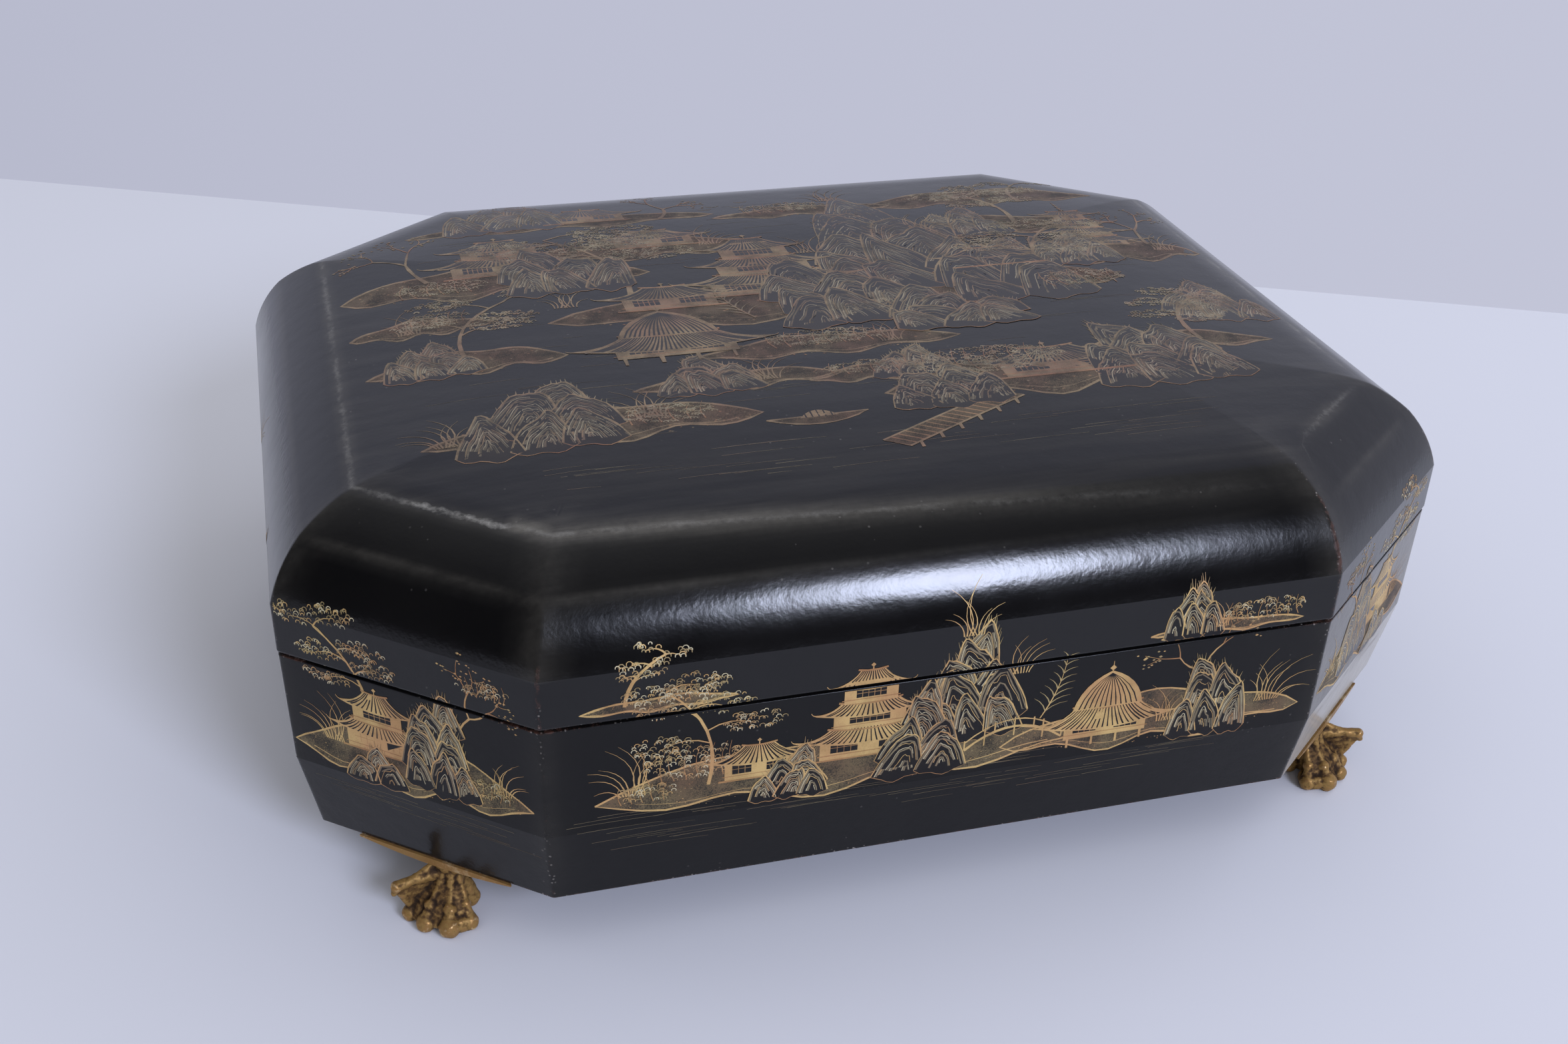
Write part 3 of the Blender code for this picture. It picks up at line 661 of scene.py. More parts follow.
PAINTS = ("gold", "outline", "pale", "ink", "ground", "water", "leaf", "stone")
SIDE_PAINTS = [
    gilt("wall_gold", (0.52, 0.355, 0.140), (0.24, 0.14, 0.050)),
    gilt("wall_outline", (0.37, 0.22, 0.085), (0.14, 0.07, 0.025)),
    gilt("wall_pale_line", (0.50, 0.44, 0.28), (0.11, 0.10, 0.06), metal=0.1, russet=0.2),
    gilt("wall_ink", (0.005, 0.0045, 0.005), (0.010, 0.008, 0.007), metal=0.0, roughness=0.20,
         relief=0.05, ior=1.33),
    gilt("wall_ground", (0.135, 0.100, 0.050), (0.028, 0.022, 0.014), rubbed=1.0, stipple=0.5),
    gilt("wall_water", (0.16, 0.13, 0.075), (0.05, 0.04, 0.025)),
    gilt("wall_leaf", (0.33, 0.255, 0.115), (0.11, 0.08, 0.035)),
    gilt("wall_stone", (0.165, 0.130, 0.072), (0.060, 0.048, 0.028), metal=0.1, russet=0.6),
]


def bow(start, end, bulge=0.0, steps=6):
    """A curved line from start to end, bulging to its left by a share of its length."""
    (x0, y0), (x1, y1) = start, end
    bend_x = (x0 + x1) / 2 - (y1 - y0) * bulge * 2
    bend_y = (y0 + y1) / 2 + (x1 - x0) * bulge * 2
    points = []
    for step in range(steps + 1):
        t = step / steps
        points.append(((1 - t) ** 2 * x0 + 2 * t * (1 - t) * bend_x + t * t * x1,
                       (1 - t) ** 2 * y0 + 2 * t * (1 - t) * bend_y + t * t * y1))
    return points


class Brush:
    """Draws one motif on a painting, in millimetres, at its place, size and rank from the back."""

    def __init__(self, painting, u, v, size, rank, mirror, seed, weight):
        self.painting, self.u, self.v, self.size = painting, u, v, size
        self.weight = weight
        self.level = rank * 3
        self.turn = -1 if mirror else 1
        self.chance = random.Random(seed)

    def place(self, point):
        return (self.u / 1000 + point[0] * self.turn * self.size / 1000,
                self.v / 1000 + point[1] * self.size / 1000)

    def wash(self, points, paint, over=0.0):
        """A filled area inside an outline."""
        outline = [self.place(point) for point in points]
        flat = [Vector((x, y, 0)) for x, y in outline]
        for corners in tessellate_polygon([flat]):
            self.painting.append(([outline[i] for i in corners], PAINTS.index(paint),
                                  self.level + over))

    def line(self, points, paint, width=MIDDLE, over=1.0, tip=0.35, root=1.0):
        """A stroke of the brush, from its root width to its tip width."""
        path = [self.place(point) for point in points]
        left, right = [], []
        for i, (x, y) in enumerate(path):
            x0, y0 = path[max(0, i - 1)]
            x1, y1 = path[min(len(path) - 1, i + 1)]
            length = math.hypot(x1 - x0, y1 - y0) or 1e-9
            t = i / (len(path) - 1)
            shake = 1 + 0.20 * math.sin(i * 1.9 + x * 900 + y * 1700)
            half = self.weight * shake * width / 2 * (root + (tip - root) * t)
            left.append((x - (y1 - y0) / length * half, y + (x1 - x0) / length * half))
            right.append((x + (y1 - y0) / length * half, y - (x1 - x0) / length * half))
        for i in range(len(path) - 1):
            self.painting.append(([right[i], right[i + 1], left[i + 1], left[i]],
                                  PAINTS.index(paint), self.level + over))

    def ring(self, points, paint, width=MIDDLE, over=1.0):
        self.line(points + points[:2], paint, width, over, tip=1.0)

    def dot(self, x, y, radius, paint, over=1.0, flat=1.0):
        ends = ((x - radius, y), (x, y - radius * flat), (x + radius, y), (x, y + radius * flat))
        self.painting.append(([self.place(end) for end in ends], PAINTS.index(paint),
                              self.level + over))


# Points along the top and the belly of a stone, and from which to which its folds may run
ARCH_STEPS = 16
BELLY_STEPS = 9
FOLD_SPANS = ((0, 14), (1, 15), (2, 16), (0, 16), (1, 13), (3, 16))


def boulder(brush, x, y, width, height, over, fringed=False):
    """One steep stone of a heap: black inside a gold outline, with folds nested in it."""
    lean = brush.chance.uniform(-0.28, 0.28) * width
    phase = brush.chance.uniform(0, 6)
    steep = brush.chance.uniform(1.35, 2.3)
    arch = []
    for step in range(ARCH_STEPS + 1):
        t = step / ARCH_STEPS
        rise = 0.12 + 0.88 * (1 - abs(2 * t - 1) ** steep)
        knob = 1 + 0.06 * math.sin(t * 15 + phase) + brush.chance.uniform(-0.03, 0.03)
        arch.append((x + (t - 0.5) * width * (0.86 + 0.14 * rise) + lean * rise ** 1.5,
                     y + height * (rise * knob - 0.16)))
    low = []
    for step in range(BELLY_STEPS + 1):
        t = 1 - step / BELLY_STEPS
        sag = 0.15 * math.sin(math.pi * t) ** 0.7 * (1 + 0.3 * math.sin(t * 11 + phase))
        low.append((x + (t - 0.5) * width * 0.88, y - height * (0.04 + sag)))
    brush.wash(arch + low[1:-1], "ink", over)
    brush.line(low, "outline", MIDDLE, over + 0.06, tip=0.5, root=0.5)
    brush.line(arch, "gold", BROAD, over + 0.07, tip=0.7, root=0.7)
    folds = min(7, max(2, round(width * brush.size / FOLD_SPACING / 2)))
    for fold in range(folds + 1):
        start, end = brush.chance.choice(FOLD_SPANS)
        for paint, wide, within in (("stone", FOLD_WIDTH / brush.weight, 0.42),
                                    ("gold" if fold % 3 == 2 else "pale", FINE * 0.9, 0.0)):
            share = 1 - (fold + within) / (folds + 0.9)
            slip = lean * (0.25 + 0.5 * (1 - share))
            inner = [(x + slip + (px - x - slip) * share,
                      y + (py - y) * (0.10 + 0.90 * share)
                      + 0.018 * height * math.sin(order * 1.3 + fold * 2 + phase))
                     for order, (px, py) in enumerate(arch[start:end + 1])]
            if fold or within:
                brush.line(inner[::2] if within else inner, paint, wide,
                           over + (0.055 if within else 0.065), tip=0.5, root=0.85)
    for px, py in arch[2:-2] if fringed else ():
        lift = brush.chance.uniform(0.9, 3.0) / brush.size
        sway = ((px - x) / width * 2.4 + brush.chance.uniform(-0.5, 0.5)) / brush.size
        brush.line([(px, py), (px + sway, py + lift)], "leaf", FINE * 0.85, over - 0.02, tip=0.3)


def rock(brush, width, height, rows=4):
    """A steep heap of stones, laid from the top down so that the lower ones stand in front."""
    for row in range(rows):
        share = (row + 1) / rows
        count = 1 + row // 2 + (1 if width > height and row else 0)
        y = height * (1 - share) * 0.78
        sway = brush.chance.uniform(-0.16, 0.16) * width * (1 - share * 0.5)
        for place in range(count):
            x = ((place + 0.5) / count - 0.5) * width * (0.30 + 0.62 * share) + sway
            wide = width * (0.62 if count == 1 else 1.05 / count + 0.10) * (0.72 + 0.28 * share)
            tall = min(height / rows * brush.chance.uniform(1.7, 2.4), height * 0.78)
            boulder(brush, x, y + brush.chance.uniform(-0.02, 0.04) * height, wide, tall,
                    row * 0.42 + place * 0.13, row * 2 < rows)


SHORE_STEPS = 22


def island(brush, width, height, stones=60):
    """A low bank of land with pointed ends, outlined in gold and dusted with it at its rim."""
    half = width / 2
    steps = SHORE_STEPS
    phase = brush.chance.uniform(0, 6)
    top = []
    for step in range(steps + 1):
        t = step / steps
        rise = math.sin(math.pi * t) ** 0.75 * (1 + 0.16 * math.sin(t * 13 + phase))
        top.append((-half + width * t, height * 0.62 * rise))
    low = []
    for step in range(1, steps):
        t = 1 - step / steps
        sag = math.sin(math.pi * t) ** 0.6 * (0.72 + 0.36 * math.sin(t * 19 + phase))
        low.append((-half + width * t, -height * 0.38 * sag))
    brush.wash(top + low, "ground")
    brush.ring(top + low, "gold", BROAD, 0.7)
    inner = [(x * 0.93, y * 0.62) for x, y in low]
    brush.line(inner, "gold", FINE, 0.5)
    for stone in range(stones):
        x = brush.chance.uniform(-0.92, 0.92) * half
        reach = math.sin(math.pi * (x / width + 0.5)) ** 0.7 * height
        side = brush.chance.choice((-0.31, 0.55))
        brush.dot(x, side * reach * (1 - brush.chance.random() ** 1.6 * 0.9),
                  brush.chance.uniform(0.12, 0.34), brush.chance.choice(("gold", "leaf", "outline")),
                  0.6, 0.5)


def roof(brush, x, y, span, ridge, height, over, curl=0.9):
    """A tiled roof with a short ridge, hollow slopes and turned-up eaves."""
    left = bow((x - ridge / 2, y + height), (x - span / 2, y + curl * 0.5), 0.12)
    right = bow((x + span / 2, y + curl * 0.5), (x + ridge / 2, y + height), 0.12)
    eave = bow((x - span / 2, y + curl * 0.5), (x + span / 2, y + curl * 0.5), -0.07, 10)
    brush.wash(left + eave[1:-1] + right, "gold", over)
    ribs = max(4, round(span * brush.size / RIB_SPACING))
    for rib in range(1, ribs):
        t = rib / ribs
        foot = (x - span / 2 + span * t, eave[round(t * 10)][1])
        head = (x - ridge / 2 + ridge * t, y + height)
        brush.line(bow(head, foot, 0.10 * (0.5 - t) * 2, 4), "ink", FINE * 0.9, over + 0.12, tip=1.7)
    brush.line(eave, "gold", MIDDLE * 1.3, over + 0.25, tip=1.0)
    for slope in (left, right):
        brush.line(slope, "gold", MIDDLE, over + 0.25, tip=1.0)
    ends = ((x - ridge / 2 - 0.7, y + height + 0.4), (x + ridge / 2 + 0.7, y + height + 0.4))
    brush.line(bow(*ends, -0.06), "outline", BROAD, over + 0.25, tip=1.0)
    for side, tip in ((-1, left[-1]), (1, right[0])):
        brush.line(bow(tip, (tip[0] + side * 1.1, tip[1] + curl), side * -0.15, 3), "gold",
                   MIDDLE, over + 0.25)


def storey(brush, x, y, width, height, over, bays=3):
    """One floor of a hall: a gold wall with lattice windows between posts, and a railing."""
    brush.wash([(x - width / 2, y), (x + width / 2, y), (x + width / 2, y + height),
                (x - width / 2, y + height)], "gold", over)
    bays = max(1, bays - 1)
    bay = width / bays
    for i in range(bays):
        left = x - width / 2 + bay * (i + 0.22)
        right = left + bay * 0.56
        low, high = y + height * 0.34, y + height * 0.86
        brush.wash([(left, low), (right, low), (right, high), (left, high)], "ink", over + 0.08)
        bars = max(2, round((right - left) * brush.size / BAR_SPACING))
        for bar in range(1, bars):
            at = left + (right - left) * bar / bars
            brush.line([(at, low), (at, high)], "outline", FINE * 0.6, over + 0.16, tip=1.0)
        brush.line([(left, (low + high) / 2), (right, (low + high) / 2)], "outline", FINE * 0.6,
                   over + 0.16, tip=1.0)
    brush.line([(x - width / 2 - 0.5, y + height * 0.24), (x + width / 2 + 0.5, y + height * 0.24)],
               "outline", FINE, over + 0.16, tip=1.0)


def hall(brush, width, floors=2, bays=3):
    """A hall of one or more floors, each with its own roof, the upper ones smaller."""
    y = 0.0
    for floor in range(floors):
        highest = floor + 1 == floors
        wide, tall = width * 0.74 ** floor, (4.2 if floor else 5.4)
        ridge, slope = (0.34, 4.2) if highest else (0.62, 2.6)
        over = floor * 0.62
        storey(brush, 0, y, wide * 0.78, tall, over, max(2, bays - floor))
        roof(brush, 0, y + tall, wide * 1.16, wide * ridge, slope, over + 0.30)
        y += tall + (4.2 if highest else 2.4)
    brush.line([(0, y), (0, y + 1.8)], "gold", MIDDLE, 1.9)
    brush.dot(0, y + 1.3, 0.55, "gold", 1.9)
    brush.line([(-width * 0.46, 0), (width * 0.46, 0)], "outline", BROAD, 1.9, tip=1.0)


def kiosk(brush, width, piles=4):
    """A round kiosk on piles in the water, with a cone of a roof above a ring of eaves."""
    for pile in range(piles):
        at = (pile / (piles - 1) - 0.5) * width * 0.66
        brush.line([(at, 0), (at, -2.0)], "gold", BROAD * 1.4, 0.2, tip=0.8)
    storey(brush, 0, 0, width * 0.74, 4.2, 0.3, 3)
    roof(brush, 0, 3.6, width * 1.22, width * 0.58, 3.9, 0.7, curl=0.5)
    eave, half = 7.1, width * 0.31
    apex = eave + width * 0.36
    cone = bow((-half, eave), (0, apex), 0.13) + bow((0, apex), (half, eave), 0.13)[1:]
    brush.wash(cone, "gold", 1.1)
    ribs = round(width * 0.62 * brush.size / RIB_SPACING)
    for rib in range(1, ribs):
        t = rib / ribs
        brush.line(bow((0, apex - 0.5), (half * (2 * t - 1), eave), (t - 0.5) * 0.25, 4),
                   "ink", FINE * 0.7, 1.25, tip=2.0)
    brush.ring(cone, "gold", MIDDLE, 1.4)
    brush.line([(0, apex - 0.2), (0, apex + 2.4)], "gold", MIDDLE, 1.5)
    brush.dot(0, apex + 0.8, 0.70, "gold", 1.5)


def tower(brush, width, floors=5):
    """A tower of many floors, each with a narrow roof that turns up at its ends."""
    y = 0.0
    for floor in range(floors):
        share = 1 - floor * 0.62 / floors
        wide = width * share
        storey(brush, 0, y, wide * 0.52, 2.7, 0.1 + floor * 0.1, 2 if floor else 3)
        roof(brush, 0, y + 2.6, wide, wide * 0.42, 1.5, 0.5 + floor * 0.1, curl=0.8)
        y += 4.0
    brush.line([(0, y), (0, y + 5.5)], "gold", MIDDLE, 2.2)
    for knot in range(4):
        brush.dot(0, y + 0.8 + knot, 0.6 - knot * 0.08, "gold", 2.2, 0.6)


def bridge(brush, length, rise, posts=7):
    """An arched plank bridge with a railing."""
    deck = bow((-length / 2, 0), (length / 2, 0), rise / length, 10)
    rail = [(x, y + 2.1) for x, y in deck]
    brush.line(deck, "gold", BROAD * 1.4, 0.8, tip=1.0)
    brush.line(rail, "gold", MIDDLE, 0.8, tip=1.0)
    for post in range(posts):
        x, y = deck[round(post / (posts - 1) * 10)]
        brush.line([(x, y - 2.6 if post % 2 else y), (x, y + 2.7)], "gold", MIDDLE, 0.8, tip=1.0)


def jetty(brush, length, slope, piles=6):
    """A landing stage on piles that runs out over the water."""
    run = (length, -length * slope)
    width = (length * 0.16, length * 0.10)
    near = [(0, 0), run, (run[0] + width[0], run[1] + width[1]), width]
    brush.wash(near, "ground")
    brush.ring(near, "gold", MIDDLE, 0.6)
    planks = round(length * brush.size / RIB_SPACING / 1.5)
    for plank in range(1, planks):
        t = plank / planks
        start = (run[0] * t, run[1] * t)
        brush.line([start, (start[0] + width[0], start[1] + width[1])], "outline", FINE, 0.5, tip=1.0)
    for pile in range(piles):
        t = (pile + 0.5) / piles
        brush.line([(run[0] * t, run[1] * t), (run[0] * t, run[1] * t - 1.7)], "gold", BROAD * 1.2,
                   0.6, tip=0.8)


def grass(brush, count, length, spread=0.9, lean=0.0):
    """A tuft of long blades that bend over at their tips."""
    for blade in range(count):
        t = (blade + 0.5) / count * 2 - 1
        angle = t * spread + lean + brush.chance.uniform(-0.10, 0.10)
        reach = length * brush.chance.uniform(0.6, 1.1) * (1 - 0.22 * abs(t))
        tip = (reach * math.sin(angle), reach * math.cos(angle))
        start = (t * length * 0.20, 0)
        bend = 0.20 if tip[0] > 0 else -0.20
        brush.line(bow(start, tip, bend), "gold", MIDDLE * 0.95, 1.2, tip=0.12)


def fern(brush, length, lean=0.2, leaves=9):
    """A stem with long leaves in pairs."""
    stem = bow((0, 0), (length * math.sin(lean), length * math.cos(lean)), -lean * 0.2, leaves)
    brush.line(stem, "gold", MIDDLE, 1.2, tip=0.4)
    for order, (x, y) in enumerate(stem[1:]):
        reach = length * 0.34 * (1 - order / leaves * 0.6)
        for side in (-1, 1):
            angle = lean + side * 0.85
            tip = (x + reach * math.sin(angle), y + reach * math.cos(angle) * 0.8)
            brush.line(bow((x, y), tip, side * 0.1, 3), "leaf", MIDDLE * 1.1, 1.2, tip=0.1)


def cloud_of_leaves(brush, x, y, width, height, over=1.4):
    """A flat cloud of foliage, drawn as many small loops."""
    loops = max(5, int(width * height * brush.size ** 2 * 0.46))
    for loop in range(loops):
        angle, reach = brush.chance.uniform(0, 2 * math.pi), math.sqrt(brush.chance.random())
        cx = x + math.cos(angle) * reach * width / 2
        cy = y + math.sin(angle) * reach * height / 2
        size = brush.chance.uniform(0.50, 0.95) / brush.size
        arc = [(cx + size * math.cos(a), cy + size * 0.85 * math.sin(a))
               for a in (-0.5, 0.3, 1.1, 1.9, 2.7, 3.5)]
        paint = brush.chance.choice(("leaf", "leaf", "pale", "gold"))
        brush.line(arc, paint, FINE * 0.9, over + 0.1, tip=0.7)


def pine(brush, height, lean=0.5, clouds=5):
    """A crooked pine: a bent trunk, and branches that carry flat clouds of foliage."""
    top = (height * lean, height)
    trunk = bow((0, 0), top, 0.16, 8)
    brush.line(trunk, "gold", BROAD * 2.0, 1.0, tip=0.35)
    for cloud in range(clouds):
        t = 0.35 + 0.65 * cloud / max(1, clouds - 1)
        x, y = trunk[min(8, round(t * 8))]
        side = -1 if cloud % 2 else 1
        reach = height * brush.chance.uniform(0.20, 0.42) * side
        end = (x + reach, y + height * brush.chance.uniform(0.0, 0.14))
        brush.line(bow((x, y), end, 0.14 * side, 4), "gold", MIDDLE * 1.2, 1.0)
        cloud_of_leaves(brush, end[0], end[1] + 0.6, height * 0.52, height * 0.20)


def bare_tree(brush, height, lean=0.3, forks=3, leaves=5):
    """A bare-limbed tree: limbs that fork again and again, with small leaves at the ends."""
    limbs = [((0.0, 0.0), lean, height * 0.42, BROAD * 1.7)]
    for fork in range(forks + 1):
        grown = []
        for (x, y), angle, length, width in limbs:
            end = (x + length * math.sin(angle), y + length * math.cos(angle))
            bulge = brush.chance.uniform(-0.14, 0.14)
            brush.line(bow((x, y), end, bulge, 4), "gold" if fork < 2 else "outline", width, 1.0,
                       tip=0.6)
            for side in (-1, 1):
                spread = side * brush.chance.uniform(0.30, 0.85) + angle * 0.15
                grown.append((end, angle + spread, length * brush.chance.uniform(0.55, 0.8),
                              width * 0.6))
            if fork >= 2:
                for leaf in range(leaves):
                    a, r = brush.chance.uniform(0, 6.28), brush.chance.uniform(0.2, 2.0)
                    brush.dot(end[0] + r * math.cos(a), end[1] + r * math.sin(a),
                              brush.chance.uniform(0.24, 0.46), brush.chance.choice(("leaf", "gold")),
                              1.3, 0.6)
        limbs = grown


def shrub(brush, width, height):
    """A low thicket of loops with a few stalks."""
    cloud_of_leaves(brush, 0, height * 0.5, width, height, 1.2)
    for stalk in range(int(width / 2.4)):
        x = (stalk + 0.5) * 2.4 - width / 2
        brush.line(bow((x, 0), (x + brush.chance.uniform(-1, 1), height), 0.1, 3), "outline", FINE, 1.0)


def ripples(brush, width, height, count):
    """Short level strokes that stand for water."""
    for stroke in range(count):
        x = brush.chance.uniform(-0.5, 0.5) * width
        y = brush.chance.uniform(-0.5, 0.5) * height
        reach = brush.chance.uniform(3.0, 15.0)
        brush.line(bow((x - reach, y), (x + reach, y + brush.chance.uniform(-0.3, 0.3)),
                       0.01, 4), "water", FINE * 0.8, 0.2, tip=0.3, root=0.5)


def boat(brush, length):
    """A small empty boat with a mat shelter."""
    keel = bow((-length / 2, 1.0), (length / 2, 1.3), -0.16, 8)
    brush.wash(keel, "ground", 0.3)
    brush.ring(keel, "gold", MIDDLE, 0.5)
    shelter = bow((-length * 0.18, 0.7), (length * 0.2, 0.8), 0.34, 6)
    brush.wash(shelter, "gold", 0.7)
    for rib in range(1, 6):
        x, y = shelter[rib]
        brush.line([(x, y), (x, 0.75)], "ink", FINE, 0.9, tip=1.0)


def birds(brush, count):
    for bird in range(count):
        x, y = brush.chance.uniform(-6, 6), brush.chance.uniform(-3, 3)
        for side in (-1, 1):
            brush.line(bow((x, y), (x + side * 1.5, y + 0.8), side * -0.2, 3), "gold", FINE, 1.0)


# Each line of a scene is: rank, motif, place along the wall, height above the table, size,
# mirrored, and what that motif needs. Places are in millimetres.

FRONT_SCENE = (
    (0, ripples, 0, 44, 1.0, False, 190, 9, 34),
    (0, ripples, -30, 51, 1.0, False, 150, 8, 26),
    (0, island, -32, 58, 1.0, False, 150, 22, 260),
    (0, island, 66, 57, 1.0, False, 100, 19, 180),
    (1, grass, 104, 60, 1.5, False, 11, 14, 1.1, 0.4),
    (1, bare_tree, 84, 62, 1.5, False, 22, -0.25, 3, 5),
    (1, grass, -96, 60, 1.5, True, 10, 13, 1.1, 0.35),
    (1, shrub, -78, 63, 1.5, False, 20, 8),
    (1, fern, 28, 66, 1.5, False, 15, 0.30, 8),
    (1, rock, 6, 64, 1.0, False, 32, 42, 5),
    (1, grass, 4, 100, 1.4, False, 9, 12, 1.1),
    (2, hall, -26, 62, 1.36, False, 28, 3, 3),
    (2, hall, -59, 60, 1.25, False, 21, 1, 3),
    (3, rock, -8, 54, 1.0, False, 30, 30, 4),
    (1, grass, 20, 84, 1.3, False, 7, 11, 0.8, 0.5),
    (3, pine, -74, 60, 1.3, True, 27, 0.35, 6),
    (2, bridge, 20, 58, 1.3, False, 24, 5, 7),
    (3, kiosk, 50, 56, 1.52, False, 24, 4),
    (4, rock, 84, 53, 1.0, False, 27, 24, 3),
    (4, grass, 70, 58, 1.4, False, 8, 11, 1.0),
    (4, rock, -50, 52, 1.0, False, 24, 15, 3),
    (4, shrub, -92, 57, 1.3, False, 14, 5),
    (0, island, -88, 91, 0.9, False, 50, 5, 30),
    (1, pine, -98, 92, 0.8, False, 19, 0.8, 6),
    (1, shrub, -80, 92, 1.2, False, 16, 4),
    (1, island, 86, 90.5, 0.9, False, 56, 5, 30),
    (2, rock, 74, 90, 0.9, False, 22, 18, 3),
    (2, grass, 84, 91, 1.2, False, 7, 9, 1.0),
    (2, shrub, 98, 92, 1.4, False, 20, 5),
)
SIDE_SCENE = (
    (0, ripples, 4, 44, 1.0, False, 150, 9, 28),
    (0, ripples, 0, 51, 1.0, False, 130, 8, 20),
    (0, island, 12, 58, 1.0, False, 146, 21, 240),
    (1, grass, 70, 61, 1.5, False, 10, 13, 1.1, 0.35),
    (1, bare_tree, 56, 63, 1.5, False, 22, 0.25, 3, 5),
    (1, rock, 6, 63, 1.0, False, 31, 41, 5),
    (1, grass, 6, 99, 1.4, False, 9, 11, 1.1),
    (2, hall, 34, 61, 1.4, False, 26, 2, 3),
    (3, rock, 14, 54, 1.0, False, 27, 26, 4),
    (3, kiosk, -22, 56, 1.48, False, 23, 4),
    (4, rock, 54, 52, 1.0, False, 23, 16, 3),
    (2, pine, -44, 60, 1.35, True, 27, 0.4, 6),
    (1, fern, -2, 62, 1.5, True, 15, 0.3, 8),
    (0, island, -74, 57, 0.9, False, 48, 10, 60),
    (1, shrub, -76, 60, 1.4, False, 18, 6),
    (2, grass, -60, 59, 1.4, False, 9, 11, 1.0),
    (1, island, -66, 91, 0.9, False, 46, 5, 26),
    (2, rock, -64, 90, 0.9, False, 20, 16, 3),
    (1, shrub, 70, 93, 1.3, False, 20, 5),
)
CANT_SCENE = (
    (0, ripples, 0, 43, 1.0, False, 56, 8, 16),
    (0, island, 1, 57, 1.0, False, 82, 21, 180),
    (1, grass, 27, 61, 1.4, False, 10, 12, 1.0, 0.3),
    (1, grass, -30, 60, 1.4, True, 9, 11, 1.0, 0.3),
    (1, bare_tree, -16, 74, 1.25, True, 22, 0.45, 3, 5),
    (1, pine, 14, 70, 1.15, False, 27, 0.5, 6),
    (2, hall, 11, 61, 1.32, False, 22, 2, 3),
    (3, rock, -10, 55, 1.0, False, 26, 36, 5),
    (4, rock, 14, 50, 1.0, False, 22, 12, 2),
    (4, shrub, -26, 57, 1.3, False, 12, 5),
    (1, shrub, -26, 93, 1.2, False, 14, 5),
)
SCENES = {"front": (FRONT_SCENE, False), "right": (SIDE_SCENE, False), "back": (FRONT_SCENE, True),
          "left": (SIDE_SCENE, True), "front_right": (CANT_SCENE, False),
          "back_right": (CANT_SCENE, True), "back_left": (CANT_SCENE, False),
          "front_left": (CANT_SCENE, True)}


def painted(scene, mirror, seed, weight):
    """All the strokes of a scene, each a hair above the one before, so that none coincide."""
    painting = []
    side = -1 if mirror else 1
    for order, (rank, motif, u, v, size, flip, *needs) in enumerate(scene):
        motif(Brush(painting, u * side, v, size, rank, flip != mirror, seed * 100 + order,
                    weight), *needs)
    return [(points, paint, level + order % HAIRS * HAIR)
            for order, (points, paint, level) in enumerate(painting)]


def trimmed(piece, axis, limit, keep):
    """What is left of a flat piece on one side of a straight cut."""
    kept = []
    for i, here in enumerate(piece):
        before = piece[i - 1]
        inside, was = (here[axis] - limit) * keep >= 0, (before[axis] - limit) * keep >= 0
        if inside != was:
            t = (limit - before[axis]) / (here[axis] - before[axis])
            kept.append(tuple(before[j] + (here[j] - before[j]) * t for j in (0, 1)))
        if inside:
            kept.append(here)
    return kept


def sliced(piece, axis, cuts):
    """A flat piece cut into the strips between the cuts; what lies outside them is lost."""
    low, high = min(p[axis] for p in piece), max(p[axis] for p in piece)
    strips = []
    for start, end in zip(cuts, cuts[1:]):
        if start <= low and high <= end:
            return [piece]
        if low < end and high > start:
            part = trimmed(trimmed(piece, axis, start, 1) or piece, axis, end, -1)
            if len(part) > 2:
                strips.append(part)
    return strips


def laid(name, pieces, skin, body, paints):
    """Leaf and paint laid on a skin: each point is brought to the surface along its own ray."""
    ground = BVHTree.FromPolygons([skin.matrix_world @ vertex.co for vertex in skin.data.vertices],
                                  [tuple(face.vertices) for face in skin.data.polygons])
    bm = bmesh.new()
    for points, paint, level, way in pieces:
        corners = []
        for point in points:
            start, out = way(point)
            spot = ground.ray_cast(start, -out)[0]
            if spot is None:
                break
            corners.append(bm.verts.new(spot + out * (GILT_LIFT + GILT_STEP * level)))
        if len(corners) == len(points):
            bm.faces.new(corners).material_index = paint
    bmesh.ops.remove_doubles(bm, verts=bm.verts, dist=SAME_POINT)
    loose = [vertex for vertex in bm.verts if not vertex.link_faces]
    bmesh.ops.delete(bm, geom=loose, context="VERTS")
    made = to_object(name, bm, *paints)
    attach(made, body)


def from_side(k):
    """How a point of a side's painting meets the wall: where to start, and the way out."""
    middle = (CORNERS[k] + CORNERS[(k + 1) % 8]) / 2
    out = Vector((-INTO[k].x, -INTO[k].y, 0))
    along = Vector((ALONG[k].x, ALONG[k].y, 0))
    base = Vector((middle.x, middle.y, 0)) + out * RAY_START

    def way(point):
        return base + along * point[0] + Vector((0, 0, point[1])), out
    return way


SIDE_WEIGHT = 0.86
lower_cuts = [underside_z + LOWER_MARGIN, LOWER_CREASE_HEIGHT, wall_top_z - SEAM_MARGIN]
upper_cuts = [lid_low_z + SEAM_MARGIN, CREASE_HEIGHT] + [height for depth, height in shoulder[1:]]
lower_pieces, upper_pieces = [], []
for k, side in enumerate(SIDES):
    way = from_side(k)
    reach = (CORNERS[(k + 1) % 8] - CORNERS[k]).length / 2 - SIDE_MARGIN
    for points, paint, level in painted(*SCENES[side], k, SIDE_WEIGHT):
        for piece in sliced(points, 0, [-reach, reach]):
            lower_pieces += [(part, paint, level, way) for part in sliced(piece, 1, lower_cuts)]
            upper_pieces += [(part, paint, level, way) for part in sliced(piece, 1, upper_cuts)]
laid("casket_gilding", lower_pieces, base_skin, "base", SIDE_PAINTS)
